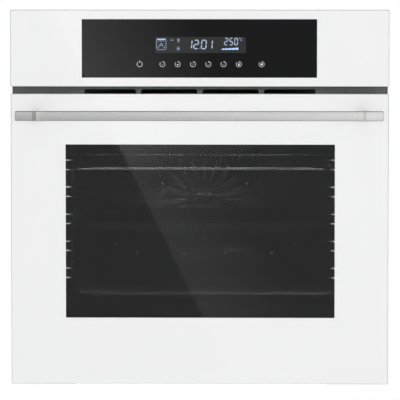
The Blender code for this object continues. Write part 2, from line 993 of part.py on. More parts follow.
def door_stiles():
    front, back = FRONT_GLASS + CLEAR, PANE_BACK - CLEAR
    leg = [
        (STILE_IN, front),
        (STILE_OUT, front),
        (STILE_OUT, STEP_Y),
        (REAR_HALF, STEP_Y),
        (REAR_HALF, back),
        (STILE_IN, back),
    ]
    for name, side in (("left", -1), ("right", 1)):
        stile = mirrored(prism(leg, "z", 14, 450), side)
        obj = piece(f"{name}_door_stile", stile, "brushed_steel")
        pocket = box((HINGE_X - 5.3, 6.5, 10), (REAR_HALF + 2, 40, 176))
        grooves = [
            box((STILE_IN - 1, y - 0.3, 52), (253.4, y + MIDDLE_PANE + 0.3, 432))
            for y in MIDDLE_PANE_FRONTS
        ]
        cut(obj, [mirrored(bm, side) for bm in [pocket] + grooves])


def door_rails():
    front, back, half = FRONT_GLASS + CLEAR, PANE_BACK - CLEAR, STILE_IN - CLEAR
    top = [
        (front, 432),
        (back, 432),
        (back, 450),
        (15.5, 450),
        (15.5, 459.5),
        (front, 459.5),
    ]
    rail = piece("door_top_rail", prism(top, "x", -half, half), "brushed_steel")
    slots = [
        box((x - 22, 18, 428), (x + 22, 28, 455)) for x in range(-210, 211, 60)
    ]
    cut(rail, slots)
    bottom = [(front, 10), (15, 10), (back, 22), (back, 52), (front, 52)]
    rail = piece("door_bottom_rail", prism(bottom, "x", -half, half), "brushed_steel")
    slots = [box((x - 22, 8, 5), (x + 22, 12, 56)) for x in range(-210, 211, 60)]
    cut(rail, slots)


def hinges():
    pivot = (PIVOT_Y, PIVOT_Z)
    arm = arc(pivot, 5, 116, 296, 8) + [
        (46, 34),
        (98, 34),
        (101, 32.6),
        (112, 38),
        (104, 47),
        (46, 47),
    ]
    channel = [
        (HINGE_X - 4.8, 33),
        (HINGE_X - 4.8, 7),
        (HINGE_X + 4.8, 7),
        (HINGE_X + 4.8, 33),
        (HINGE_X + 3.3, 33),
        (HINGE_X + 3.3, 8.5),
        (HINGE_X - 3.3, 8.5),
        (HINGE_X - 3.3, 33),
    ]
    receiver = [
        (HINGE_X - 5.2, 30),
        (HINGE_X + 5.2, 30),
        (HINGE_X + 5.2, 62),
        (HINGE_X + 3.7, 62),
        (HINGE_X + 3.7, 31.5),
        (HINGE_X - 3.7, 31.5),
        (HINGE_X - 3.7, 62),
        (HINGE_X - 5.2, 62),
    ]
    for name, side in (("left", -1), ("right", 1)):
        plate = mirrored(prism(arm, "x", HINGE_X - 1.5, HINGE_X + 1.5), side)
        obj = piece(f"{name}_hinge_arm", plate, "galvanised_steel")
        pin = cylinder((HINGE_X - 5, *pivot), (HINGE_X + 5, *pivot), 2.8, 16)
        fuse(obj, [mirrored(pin, side)])

        body = mirrored(prism(channel, "z", 12, 172), side)
        axis = (side * HINGE_X, *pivot)
        obj = piece(f"{name}_hinge_body", body, "galvanised_steel", origin=axis)
        bore = cylinder((HINGE_X - 8, *pivot), (HINGE_X + 8, *pivot), 3.2, 16)
        cut(obj, [mirrored(bore, side)])

        socket = mirrored(prism(receiver, "y", 47.8, 120), side)
        piece(f"{name}_hinge_receiver", socket, "galvanised_steel")

        turns, steps = 9, 9
        coil = []
        for n in range(turns * steps + 1):
            angle = 2 * math.pi * n / steps
            z = 62 + 96 * n / (turns * steps)
            coil.append(
                (
                    side * HINGE_X + 2.2 * math.cos(angle),
                    20 + 2.2 * math.sin(angle),
                    z,
                )
            )
        spring = wire(coil, 0.8, 4)
        piece(f"{name}_hinge_spring", spring, "chrome_wire", smooth=True)


def handle():
    back = HANDLE_FRONT + HANDLE_DEPTH
    half = HANDLE_HEIGHT / 2
    outline = rounded(HANDLE_FRONT, back, HANDLE_Z - half, HANDLE_Z + half, 1.5, 2)
    bar = prism(outline, "x", -HANDLE_HALF, HANDLE_HALF)
    piece("handle_bar", bar, "brushed_steel")
    for name, side in (("left", -1), ("right", 1)):
        outline = rounded(
            side * POST_X - 7, side * POST_X + 7, HANDLE_Z - 5.5, HANDLE_Z + 5.5, 2
        )
        post = prism(outline, "y", back + CLEAR, -CLEAR)
        piece(f"{name}_handle_post", post, "brushed_steel")


def build():
    start_empty()
    base_plate()
    side_panels()
    top_cover()
    rear_cover()
    front_frame()
    cavity()
    insulation()
    heat_shield()
    door_gasket()
    vent_trim()
    fascia()
    electronics()
    side_racks()
    wire_shelf()
    baking_tray()
    fan_baffle()
    convection()
    heaters()
    lamp()
    probe()
    cooling()
    mains_inlet()
    door_glass()
    door_stiles()
    door_rails()
    hinges()
    handle()


build()
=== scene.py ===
# %% [markdown]
# # A built-in wall oven
#
# This lesson gives that frame its real surface. It makes the visible pieces again with fine
# edges, printed glass, wires, screws and lit digits, and gives everything a procedural material.
# Every position is read from the frame's own boxes.

# %% Load the frame
import math

import bmesh
import bpy
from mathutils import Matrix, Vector
from mathutils.geometry import delaunay_2d_cdt


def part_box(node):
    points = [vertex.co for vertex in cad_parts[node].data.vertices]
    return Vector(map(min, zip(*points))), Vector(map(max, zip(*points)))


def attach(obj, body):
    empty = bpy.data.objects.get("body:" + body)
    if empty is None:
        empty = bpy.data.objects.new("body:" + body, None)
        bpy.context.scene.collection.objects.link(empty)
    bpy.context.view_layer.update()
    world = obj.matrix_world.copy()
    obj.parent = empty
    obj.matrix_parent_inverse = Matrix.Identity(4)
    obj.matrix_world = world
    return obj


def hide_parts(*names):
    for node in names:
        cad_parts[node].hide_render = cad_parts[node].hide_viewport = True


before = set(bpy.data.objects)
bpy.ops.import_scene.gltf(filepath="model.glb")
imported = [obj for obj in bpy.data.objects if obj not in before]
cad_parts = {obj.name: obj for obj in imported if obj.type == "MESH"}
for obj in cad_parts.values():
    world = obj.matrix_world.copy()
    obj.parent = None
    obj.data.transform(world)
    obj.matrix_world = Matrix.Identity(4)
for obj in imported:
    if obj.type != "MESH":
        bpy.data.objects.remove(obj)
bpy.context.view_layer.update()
MM = 0.001
SIDES = (("left", -1), ("right", 1))
scene = bpy.context.scene

# %% [markdown]
# ## Camera, studio and floor
#
# The oven is looked at from far away and slightly above, so a long lens sits five and a half
# metres off and the oven's edges stay almost parallel. A white world stands for the studio. Rays
# that only light the oven see a dimmer world, so that dark glass stays dark, and big softboxes
# round the camera do the lighting. A tall slanted card, hidden from the camera, draws the soft
# diagonal sheen on the glass. It could be an ordinary light, but a card with one sharp and one
# fading edge gives the sheen its shape.

# %% Camera
FRONT_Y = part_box("door_outer_glass")[0].y
CAMERA_DISTANCE = 5.5
CAMERA_SIDE = math.radians(1.1)
CAMERA_UP = math.radians(3.9)
CAMERA_LENS = 314.5
TARGET_X, TARGET_Z = 0.0006, 0.2962
target = Vector((TARGET_X, FRONT_Y, TARGET_Z))
back = Vector(
    (
        math.sin(CAMERA_SIDE) * math.cos(CAMERA_UP),
        -math.cos(CAMERA_SIDE) * math.cos(CAMERA_UP),
        math.sin(CAMERA_UP),
    )
)
camera = bpy.data.objects.new("camera", bpy.data.cameras.new("camera"))
scene.collection.objects.link(camera)
camera.location = target + back * CAMERA_DISTANCE
camera.rotation_mode = "QUATERNION"
camera.rotation_quaternion = (-back).to_track_quat("-Z", "Y")
camera.data.lens = CAMERA_LENS
camera.data.sensor_width = 36
camera.data.clip_end = 60
scene.camera = camera
scene.view_settings.view_transform = "Standard"
scene.cycles.transparent_max_bounces = 24
print("camera at", [round(c, 2) for c in camera.location])


# %% Node helpers
def node(tree, kind, **settings):
    """A node with its settings. inputs={...} gives its sockets a value or a socket to read."""
    made = tree.nodes.new(kind)
    inputs = settings.pop("inputs", {})
    for name, value in settings.items():
        setattr(made, name, value)
    for name, value in inputs.items():
        if isinstance(value, bpy.types.NodeSocket):
            tree.links.new(value, made.inputs[name])
        else:
            made.inputs[name].default_value = value
    return made


def math_node(tree, operation, a, b=0.0, clamp=False):
    """One arithmetic step. a and b are sockets or numbers."""
    settings = {"operation": operation, "use_clamp": clamp, "inputs": {0: a, 1: b}}
    return node(tree, "ShaderNodeMath", **settings).outputs[0]


# %% World
world = bpy.data.worlds.new("studio")
scene.world = world
world.use_nodes = True
tree = world.node_tree
tree.nodes.clear()
ROOM_STRENGTH = 0.20
ROOM_COLOUR = (0.97, 0.985, 1, 1)
seen = node(tree, "ShaderNodeBackground", inputs={"Color": (1, 1, 1, 1), "Strength": 1.0})
room = {"Color": ROOM_COLOUR, "Strength": ROOM_STRENGTH}
lighting = node(tree, "ShaderNodeBackground", inputs=room)
camera_ray = node(tree, "ShaderNodeLightPath").outputs["Is Camera Ray"]
shares = {"Fac": camera_ray, 1: lighting.outputs[0], 2: seen.outputs[0]}
mix = node(tree, "ShaderNodeMixShader", inputs=shares)
node(tree, "ShaderNodeOutputWorld", inputs={"Surface": mix.outputs[0]})


# %% Softboxes
def softbox(name, place, aim, size, power):
    """A rectangular studio light that points at a place."""
    data = bpy.data.lights.new(name, "AREA")
    data.shape = "RECTANGLE"
    data.size, data.size_y = size
    data.energy = power
    lamp = bpy.data.objects.new(name, data)
    scene.collection.objects.link(lamp)
    lamp.location = place
    lamp.rotation_mode = "QUATERNION"
    lamp.rotation_quaternion = (Vector(aim) - Vector(place)).to_track_quat("-Z", "Y")
    return lamp


middle = (0, 0, 0.3)
softbox("front_high", (0.0, -4.2, 1.05), middle, (3.0, 0.8), 57)
softbox("front_low", (0.0, -4.0, -1.0), middle, (3.0, 0.7), 13)
softbox("key", (0.4, -3.0, 3.6), middle, (3.2, 1.6), 20)
softbox("fill_left", (-3.4, -2.6, 0.9), middle, (1.6, 2.4), 34)
softbox("fill_right", (3.4, -2.6, 0.9), middle, (1.6, 2.4), 40)
softbox("rim_back", (0.5, 3.6, 2.6), middle, (3.0, 1.6), 90)
gleam = softbox("handle_gleam", (1.6, -3.2, 0.1), (0, -0.3, 0.43), (1.2, 1.2), 95)
gleam.visible_diffuse = False  # it only shows in the handle, to which it is linked later

# %% [markdown]
# Small lights hide in the oven's mouth, as its own lamp would: one along the top for the shelf,
# two for the lips of the fan cover, and one up each side for the bent ends of the runner wires.
# Each is linked later to the pieces that it wakes up, so the dark enamel stays dark.

# %% Lights inside the oven
INSIDE_LIGHTS = [
    ("shelf_strip", (0, 60, 415), (0, 430, 240), (0.36, 0.012), 0.09),
    ("slot_spark_left", (-140, 60, 375), (0, 430, 300), (0.04, 0.012), 0.12),
    ("slot_spark_right", (140, 60, 375), (0, 430, 300), (0.04, 0.012), 0.18),
    ("runner_strip_left", (-199, 55, 245), (-227, 98, 245), (0.008, 0.28), 0.011),
    ("runner_strip_right", (199, 55, 245), (227, 98, 245), (0.008, 0.28), 0.014),
]
linked_lamps = {"handle_gleam": gleam}
for name, spot, aim, size, power in INSIDE_LIGHTS:
    ends = [(x * MM, FRONT_Y + y * MM, z * MM) for x, y, z in (spot, aim)]
    linked_lamps[name] = softbox(name, *ends, size, power)
    linked_lamps[name].visible_camera = False

# %% [markdown]
# The sheen card stands three metres in front of the glass. A point on the glass mirrors one point
# of the card, found by continuing the camera's line past the glass by the same share, so the
# card's slanted edge is worked out from the line where the sheen starts on the glass.

# %% Sheen card
CARD_DISTANCE = 3.0
SHEEN_TOP = (-0.2254, 0.5795)
SHEEN_LOW = (0.0060, 0.1107)
SHEEN_WIDTH = 0.46
SHEEN_STRENGTH = 1.05
LOWER_STRENGTH = 0.50
LEFT_WIDTH = 0.40
SHEEN_FADE = 1.3
STEP_LOW, STEP_HIGH = 0.14, 0.24


def mirrored_on_card(x, z):
    """Where a point of the front glass is mirrored on the card's plane."""
    reach = CARD_DISTANCE / (CAMERA_DISTANCE * math.cos(CAMERA_UP))
    eye = camera.location
    return x + (x - eye.x) * reach, z + (z - eye.z) * reach


top_x, top_z = mirrored_on_card(*SHEEN_TOP)
low_x, low_z = mirrored_on_card(*SHEEN_LOW)
slant = (low_x - top_x) / (low_z - top_z)
card_top, card_low = 0.62, -0.55


def edge_x(z):
    return top_x + slant * (z - top_z)


card_y = FRONT_Y - CARD_DISTANCE
corners = [
    (edge_x(card_low) - LEFT_WIDTH, card_y, card_low),
    (edge_x(card_low) + SHEEN_WIDTH, card_y, card_low),
    (edge_x(card_top) + SHEEN_WIDTH, card_y, card_top),
    (edge_x(card_top) - LEFT_WIDTH, card_y, card_top),
]
card_mesh = bpy.data.meshes.new("sheen_card")
card_mesh.from_pydata(corners, [], [(0, 1, 2, 3)])
card = bpy.data.objects.new("sheen_card", card_mesh)
scene.collection.objects.link(card)
glow = bpy.data.materials.new("sheen_card")
glow.use_nodes = True
tree = glow.node_tree
tree.nodes.clear()
spot_on_card = node(tree, "ShaderNodeTexCoord").outputs["Object"]
place = node(tree, "ShaderNodeSeparateXYZ", inputs={0: spot_on_card})
along = math_node(tree, "MULTIPLY", place.outputs["Z"], -slant)
across = math_node(tree, "ADD", place.outputs["X"], along)
across = math_node(tree, "SUBTRACT", across, top_x - slant * top_z)
share = math_node(tree, "DIVIDE", across, SHEEN_WIDTH)
fade = math_node(tree, "SUBTRACT", 1.0, share, clamp=True)
fade = math_node(tree, "POWER", fade, SHEEN_FADE)
height = node(
    tree,
    "ShaderNodeMapRange",
    interpolation_type="SMOOTHSTEP",
    inputs={
        "Value": place.outputs["Z"],
        "From Min": STEP_LOW,
        "From Max": STEP_HIGH,
        "To Min": LOWER_STRENGTH,
        "To Max": 1.0,
    },
)
strength = math_node(tree, "MULTIPLY", fade, height.outputs[0])
strength = math_node(tree, "MULTIPLY", strength, SHEEN_STRENGTH)
inside_edge = math_node(tree, "GREATER_THAN", across, 0.0)
strength = math_node(tree, "MULTIPLY", strength, inside_edge)
strength = math_node(tree, "MAXIMUM", strength, ROOM_STRENGTH)
light = node(tree, "ShaderNodeEmission", inputs={"Strength": strength})
node(tree, "ShaderNodeOutputMaterial", inputs={"Surface": light.outputs[0]})
card_mesh.materials.append(glow)
card.visible_camera = False
card.visible_diffuse = False
card.visible_shadow = False
print("sheen card slants", round(math.degrees(math.atan(-slant)), 1), "degrees")


# %% [markdown]
# The door's handle swings a little below the oven's own base when the door is open, as it does in
# a kitchen. So the oven stands on a low plinth, and the floor lies further down.

# %% Plinth and floor
def finish(name, colour, roughness, metallic=0.0, **sockets):
    """A material with a Principled shader. sockets sets its other inputs by name."""
    made = bpy.data.materials.new(name)
    made.use_nodes = True
    shader = made.node_tree.nodes["Principled BSDF"]
    shader.inputs["Base Color"].default_value = (*colour, 1)
    shader.inputs["Roughness"].default_value = roughness
    shader.inputs["Metallic"].default_value = metallic
    for socket, value in sockets.items():
        shader.inputs[socket.replace("_", " ")].default_value = value
    return made


def glowing(name, colour, roughness, glow_colour, strength):
    """A finish that gives off a little light of its own."""
    own = {"Emission_Color": (*glow_colour, 1), "Emission_Strength": strength}
    return finish(name, colour, roughness, **own)


def block(low, high, bevel=0.0, segments=2):
    """A box between two corners, with its edges rounded."""
    bm = bmesh.new()
    bmesh.ops.create_cube(bm, size=1)
    for v in bm.verts:
        v.co = [low[i] + (v.co[i] + 0.5) * (high[i] - low[i]) for i in range(3)]
    if bevel:
        bevel_all(bm, bevel, segments)
    return bm


def as_mesh(bm, name="base"):
    mesh = bpy.data.meshes.new(name)
    bm.to_mesh(mesh)
    bm.free()
    return mesh


def stage_box(name, low, high, material):
    mesh = as_mesh(block(low, high), name)
    mesh.materials.append(material)
    made = bpy.data.objects.new(name, mesh)
    scene.collection.objects.link(made)


FLOOR_Z = -0.45
paper = glowing("studio_floor", (0.86, 0.86, 0.86), 0.9, (1, 1, 1), 0.25)
plinth_paint = glowing("plinth", (0.9, 0.9, 0.9), 0.9, (1, 1, 1), 0.75)
stage_box("floor", (-3, -2.6, FLOOR_Z - 0.02), (3, 3, FLOOR_Z), paper)
stage_box("plinth", (-0.2, -0.16, FLOOR_Z), (0.2, 0.24, -0.0005), plinth_paint)

# %% [markdown]
# ## Finishes
#
# Each finish is one Principled shader. What is the same all over, such as metal or clearness, is
# set on the shader's own sockets. What varies, such as grain, spangle or speckle, comes from noise
# that reads Object coordinates, so it keeps its size on every piece and stays put when a piece
# moves. `finish`, which also made the floor's paint, starts a material, and the small helpers
# below add the variation.

# %% Material helpers
def pattern(material, kind, scale, stretch=(1, 1, 1), **inputs):
    """A noise or cell texture on Object coordinates. stretch makes its grains long."""
    tree = material.node_tree
    found = tree.nodes.get("where") or node(tree, "ShaderNodeTexCoord", name="where")
    placed = {"Vector": found.outputs["Object"], "Scale": stretch}
    mapping = node(tree, "ShaderNodeMapping", inputs=placed)
    return node(tree, kind, inputs={"Vector": mapping.outputs[0], "Scale": scale, **inputs})


def noise(material, scale, stretch=(1, 1, 1), **inputs):
    """The value of a noise texture on Object coordinates."""
    return pattern(material, "ShaderNodeTexNoise", scale, stretch, **inputs).outputs["Fac"]


def between(material, factor, low, high, start=0.0, end=1.0):
    """A value that goes from low to high as factor goes from start to end."""
    limits = {"From Min": start, "From Max": end, "To Min": low, "To Max": high}
    inputs = {"Value": factor, **limits}
    return node(material.node_tree, "ShaderNodeMapRange", inputs=inputs).outputs[0]


def colours(material, factor, *stops):
    """Colours along a factor: stops are (place, (r, g, b))."""
    made = node(material.node_tree, "ShaderNodeValToRGB", inputs={"Fac": factor})
    ramp = made.color_ramp
    while len(ramp.elements) < len(stops):
        ramp.elements.new(0.5)
    for element, (place_on_ramp, colour) in zip(ramp.elements, stops):
        element.position = place_on_ramp
        element.color = (*colour, 1)
    return made.outputs["Color"]


def drive(material, socket, value):
    """Lets one input of the material's shader follow a value."""
    shader = material.node_tree.nodes["Principled BSDF"]
    material.node_tree.links.new(value, shader.inputs[socket])


def bumps(material, height, distance, strength=1.0):
    """Raises the surface by up to distance, in metres, where height is 1."""
    inputs = {"Height": height, "Strength": strength, "Distance": distance}
    made = node(material.node_tree, "ShaderNodeBump", inputs=inputs)
    drive(material, "Normal", made.outputs["Normal"])


def uneven(material, factor, low, high, start=0.0, end=1.0):
    """Lets the roughness follow a factor."""
    drive(material, "Roughness", between(material, factor, low, high, start, end))


CELLS = "ShaderNodeTexVoronoi"

# %% [markdown]
# The front is toughened float glass. Its white and black areas are enamel printed on the back, so
# they look glossy and perfectly even, with only a trace of ripple in how they mirror the room. The
# cut and polished edge shows the glass's own pale green.

# %% Glass finishes
def printed_glass(name, colour):
    made = finish(name, colour, 0.04, Specular_IOR_Level=0.5)
    ripple = noise(made, 9, Detail=1.0)
    uneven(made, ripple, 0.01, 0.026)
    return made


white_print = printed_glass("white_glass_print", (0.848, 0.846, 0.847))
black_print = printed_glass("black_glass_print", (0.0045, 0.0045, 0.005))
display_print = printed_glass("display_window_print", (0.028, 0.028, 0.029))
glass_edge = finish("glass_edge", (0.38, 0.45, 0.42), 0.16)
frost = noise(glass_edge, 900, Detail=2.0)
uneven(glass_edge, frost, 0.1, 0.3)


def clear_glass(name, colour, opacity, mirror):
    """A pane that is seen through. Each of its two faces is partly solid."""
    made = finish(name, colour, 0.02, Alpha=opacity, Specular_IOR_Level=mirror)
    smears = noise(made, 14, stretch=(1, 1, 2.5), Detail=3.0)
    uneven(made, smears, 0.002, 0.022)
    return made


smoked_pane = clear_glass("smoked_window_pane", (0.024, 0.024, 0.024), 0.36, 1.0)
inner_pane = clear_glass("inner_window_pane", (0.03, 0.035, 0.034), 0.05, 0.9)
black_border = printed_glass("inner_glass_border", (0.006, 0.006, 0.006))
lamp_pane = clear_glass("lamp_cover_glass", (0.6, 0.62, 0.6), 0.28, 1.0)

# %% [markdown]
# Brushed metal is metal with long fine scratches. The scratches are noise pulled out thirty times
# along the bar, which makes small steps in roughness and height. A turned or rolled piece would
# need its own direction, so the helper takes one.

# %% Metal finishes
def brushed(name, colour, roughness, stretch, streak=0.14):
    made = finish(name, colour, roughness, 1.0)
    hair = noise(made, 1400, stretch=stretch, Detail=4.0, Roughness=0.7)
    broad = noise(made, 160, stretch=stretch, Detail=2.0)
    low, high = roughness - 0.07, roughness + 0.09
    uneven(made, hair, low, high, 0.3, 0.7)
    dark = [c * (1 - streak) for c in colour]
    light = [min(1, c * (1 + streak / 2)) for c in colour]
    tone = colours(made, broad, (0.3, dark), (0.7, light))
    drive(made, "Base Color", tone)
    bumps(made, hair, 0.00002, 0.6)
    return made


handle_metal = brushed("brushed_handle", (0.24, 0.24, 0.24), 0.46, (0.03, 1, 1), 0.05)
# Darker and lighter copies of the handle metal: a painted shade for the outer slope of each end
# ridge and a painted highlight for its inner slope.
ridge_painted_shade = brushed("ridge_outer_slope_painted_shade", (0.180, 0.174, 0.163), 0.46, (1, 1, 0.03), 0.05)
ridge_painted_highlight = brushed("ridge_inner_slope_painted_highlight", (0.265, 0.265, 0.26), 0.46, (1, 1, 0.03), 0.05)
rail_metal = brushed("brushed_rail", (0.60, 0.61, 0.62), 0.34, (0.03, 1, 1))
stile_metal = brushed("brushed_stile", (0.60, 0.61, 0.62), 0.34, (1, 1, 0.03))

galvanised = finish("galvanised_sheet", (0.56, 0.58, 0.60), 0.42, 1.0)
spangle = pattern(galvanised, CELLS, 150, Randomness=1.0)
fine = noise(galvanised, 420, Detail=3.0)
tone = colours(
    galvanised,
    spangle.outputs["Color"],
    (0.0, (0.50, 0.52, 0.54)),
    (0.5, (0.56, 0.58, 0.60)),
    (1.0, (0.62, 0.64, 0.66)),
)
drive(galvanised, "Base Color", tone)
uneven(galvanised, fine, 0.34, 0.52)
bumps(galvanised, fine, 0.00003, 0.4)

chrome = finish("chrome_wire", (0.80, 0.81, 0.82), 0.10, 1.0)
pits = noise(chrome, 300, Detail=3.0)
uneven(chrome, pits, 0.06, 0.2)
bumps(chrome, pits, 0.00002, 0.3)

screw_metal = finish("screw_zinc", (0.66, 0.67, 0.68), 0.3, 1.0)
grains = noise(screw_metal, 1200, Detail=3.0)
uneven(screw_metal, grains, 0.22, 0.4)

heater_metal = finish("heater_sheath", (0.10, 0.095, 0.09), 0.5, 0.7)
oxide = noise(heater_metal, 130, Detail=4.0)
sooty, bare = (0.05, 0.048, 0.046), (0.17, 0.155, 0.14)
drive(heater_metal, "Base Color", colours(heater_metal, oxide, (0.3, sooty), (0.7, bare)))
uneven(heater_metal, oxide, 0.4, 0.62)

motor_metal = brushed("motor_steel", (0.40, 0.41, 0.42), 0.4, (1, 0.04, 1))
fan_metal = brushed("fan_aluminised", (0.62, 0.62, 0.61), 0.34, (1, 1, 1))
print("metals ready")

# %% [markdown]
# Oven enamel is black glass fused onto steel: glossy, very slightly wavy like orange peel, with
# tiny pale specks. The specks are the centres of small cells, and the wave is a soft bump.
# Powder coatings and mouldings have a fine even grain, which `grained` makes.

# %% Enamel, coatings, plastic and soft finishes
enamel = finish("speckled_enamel", (0.012, 0.012, 0.014), 0.16, Coat_Weight=0.3)
cells = pattern(enamel, CELLS, 620, Randomness=1.0)
peel = noise(enamel, 170, Detail=1.0)
speck = colours(
    enamel,
    cells.outputs["Distance"],
    (0.0, (0.30, 0.31, 0.33)),
    (0.12, (0.016, 0.016, 0.018)),
    (1.0, (0.009, 0.009, 0.011)),
)
drive(enamel, "Base Color", speck)
uneven(enamel, peel, 0.12, 0.26)
bumps(enamel, peel, 0.00012, 0.5)


def grained(name, colour, roughness, scale, depth, contrast=0.25, **sockets):
    """A coating or moulding with an even fine grain."""
    made = finish(name, colour, roughness, **sockets)
    grain = noise(made, scale, Detail=3.0)
    dark = [c * (1 - contrast) for c in colour]
    light = [min(1, c * (1 + contrast)) for c in colour]
    drive(made, "Base Color", colours(made, grain, (0.3, dark), (0.7, light)))
    low, high = roughness - 0.06, min(1, roughness + 0.08)
    uneven(made, grain, low, high, 0.3, 0.7)
    bumps(made, grain, depth, 0.5)
    return made


frame_coat = grained("dark_frame_coating", (0.055, 0.056, 0.058), 0.38, 700, 0.00003)
vent_coat = grained("vent_strip_coating", (0.085, 0.085, 0.085), 0.36, 700, 0.00003)
black_plastic = grained("black_moulding", (0.014, 0.014, 0.015), 0.42, 900, 0.00004)
wool = grained("mineral_wool", (0.60, 0.55, 0.40), 0.94, 260, 0.0012, 0.4)
seal = grained("gasket_braid", (0.018, 0.018, 0.018), 0.72, 800, 0.0002, 0.4)
board_mask = grained("green_board", (0.018, 0.12, 0.045), 0.32, 240, 0.00003, 0.3)
steatite = grained("lamp_ceramic", (0.78, 0.75, 0.67), 0.5, 500, 0.00004, 0.06)


def lit(name, colour, strength):
    """Printed or lit symbols. They glow a little, so they read on the dark glass."""
    made = glowing(name, colour, 0.35, colour, strength)
    cloud = noise(made, 500, Detail=2.0)
    uneven(made, cloud, 0.3, 0.45)
    return made


digit_blue = lit("display_pale_blue", (0.30, 0.37, 0.50), 0.22)
icon_blue = lit("display_dim_blue", (0.10, 0.14, 0.23), 0.3)
bar_blue = lit("display_bright_blue", (0.33, 0.52, 0.82), 0.3)
symbol_grey = lit("touch_symbol_grey", (0.30, 0.30, 0.30), 0.28)
symbol_white = lit("touch_symbol_white", (0.72, 0.72, 0.72), 0.4)
print("finishes:", len(bpy.data.materials))

# %% [markdown]
# ## Helpers for shapes
#
# Flat pieces are drawn as outlines and given a thickness. Round bars follow a path as curves.
# `keep` closes a piece: it gives it a finish, the CAD body it rides on and the nodes it replaces.

# %% Shape helpers
def arc(centre, radius, start, end, steps):
    """Points on an arc between two angles in degrees."""
    made = []
    for i in range(steps + 1):
        angle = math.radians(start + (end - start) * i / steps)
        made.append((centre[0] + radius * math.cos(angle), centre[1] + radius * math.sin(angle)))
    return made


def round_rectangle(left, right, low, high, radius, steps=6):
    """The outline of a rectangle with round corners, counter-clockwise."""
    points = []
    for x, z, start in (
        (right - radius, high - radius, 0),
        (left + radius, high - radius, 90),
        (left + radius, low + radius, 180),
        (right - radius, low + radius, 270),
    ):
        points += arc((x, z), radius, start, start + 90, steps)
    return points


def inset_outline(low, high, inset, radius, steps, axes=(0, 2)):
    """The round outline that lies this far inside a box, seen along its third axis."""
    a, b = axes
    sides = (low[a] + inset, high[a] - inset, low[b] + inset, high[b] - inset)
    return round_rectangle(*sides, radius, steps)


def keep(name, shape, materials, body, replaces=(), smooth=35):
    """Makes a finished piece from a bmesh or a mesh and hands it to the frame."""
    mesh = as_mesh(shape, name) if isinstance(shape, bmesh.types.BMesh) else shape
    mesh.name = name
    if not isinstance(materials, (list, tuple)):
        materials = [materials]
    if not mesh.materials:
        for material in materials:
            mesh.materials.append(material)
    mesh.shade_smooth()
    mesh.set_sharp_from_angle(angle=math.radians(smooth))
    made = bpy.data.objects.new(name, mesh)
    scene.collection.objects.link(made)
    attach(made, body)
    if replaces:
        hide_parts(*replaces)
    return made


def bevel_all(bm, width, segments):
    """Rounds every edge where the faces turn by more than thirty degrees."""
    sharp = [e for e in bm.edges if e.calc_face_angle(0) > math.radians(30)]
    bmesh.ops.bevel(
        bm,
        geom=sharp,
        offset=width,
        segments=segments,
        profile=0.6,
        affect="EDGES",
        clamp_overlap=True,
    )
    return bm


def merged(shapes):
    """Several bmeshes as one."""
    whole = bmesh.new()
    for bm in shapes:
        mesh = as_mesh(bm)
        whole.from_mesh(mesh)
        bpy.data.meshes.remove(mesh)
    return whole


def bridged(bm, one, other):
    """A strip of faces between two rings of equal counts."""
    count = len(one)
    for i in range(count):
        j = (i + 1) % count
        bm.faces.new((one[i], one[j], other[j], other[i]))


def lofted(loops, ring=False):
    """Bridges loops of equal counts, and caps the ends unless they join up."""
    bm = bmesh.new()
    made = [[bm.verts.new(p) for p in loop] for loop in loops]
    pairs = list(zip(made, made[1:]))
    if ring:
        pairs.append((made[-1], made[0]))
    for one, other in pairs:
        bridged(bm, one, other)
    if not ring:
        bm.faces.new(made[0])
        bm.faces.new(made[-1])
    bmesh.ops.recalc_face_normals(bm, faces=bm.faces)
    return bm


def at_y(outline, y):
    return [(x, y, z) for x, z in outline]


def turned(profile, centre, steps=32):
    """A turned piece round the y axis: profile is (radius, distance along it), closed."""
    x, y, z = centre
    bm = bmesh.new()
    rings = []
    for radius, along in profile:
        ring = []
        for k in range(steps):
            angle = 2 * math.pi * k / steps
            a, b = radius * math.cos(angle), radius * math.sin(angle)
            ring.append(bm.verts.new((x + a, y + along, z + b)))
        rings.append(ring)
    for one, other in zip(rings, rings[1:] + rings[:1]):
        bridged(bm, one, other)
    bmesh.ops.remove_doubles(bm, verts=bm.verts, dist=1e-6)
    bmesh.ops.dissolve_degenerate(bm, edges=bm.edges, dist=1e-7)
    bmesh.ops.recalc_face_normals(bm, faces=bm.faces)
    return bm


def plate(outline, holes, thickness, bevel=0.0002, steps=1):
    """A flat plate in the x, z plane with holes, its front face at y = 0 and its edges
    slightly rounded. It is a filled 2D curve, which cuts any number of holes at once."""
    curve = bpy.data.curves.new("plate", "CURVE")
    curve.dimensions = "2D"
    curve.fill_mode = "BOTH"
    curve.extrude = thickness / 2 - bevel
    curve.bevel_depth = bevel
    curve.bevel_resolution = steps
    curve.offset = -bevel
    for loop in [outline, *holes]:
        spline = curve.splines.new("POLY")
        spline.points.add(len(loop) - 1)
        spline.use_cyclic_u = True
        for point, (a, b) in zip(spline.points, loop):
            point.co = (a, b, 0, 1)
    holder = bpy.data.objects.new("plate", curve)
    mesh = bpy.data.meshes.new_from_object(holder)
    bm = bmesh.new()
    bm.from_mesh(mesh)
    bpy.data.objects.remove(holder)
    bpy.data.curves.remove(curve)
    bpy.data.meshes.remove(mesh)
    bmesh.ops.remove_doubles(bm, verts=bm.verts, dist=1e-6)
    for v in bm.verts:
        v.co = (v.co.x, thickness / 2 - v.co.z, v.co.y)
    bmesh.ops.recalc_face_normals(bm, faces=bm.faces)
    return bm


def moved(bm, offset):
    bmesh.ops.translate(bm, vec=Vector(offset), verts=bm.verts)
    return bm


def in_metres(points):
    return [tuple(c * MM for c in p) for p in points]


print("helpers ready")

# %% [markdown]
# ## Printed glass
#
# A printed sheet is one solid pane whose faces carry different prints. Its front is filled by a
# constrained triangulation, which keeps the edges of every printed area exact, and its rim has a
# small polished chamfer. The alternative, one sheet with a painted pattern, would blur the print's
# edges and could not make the window see-through.

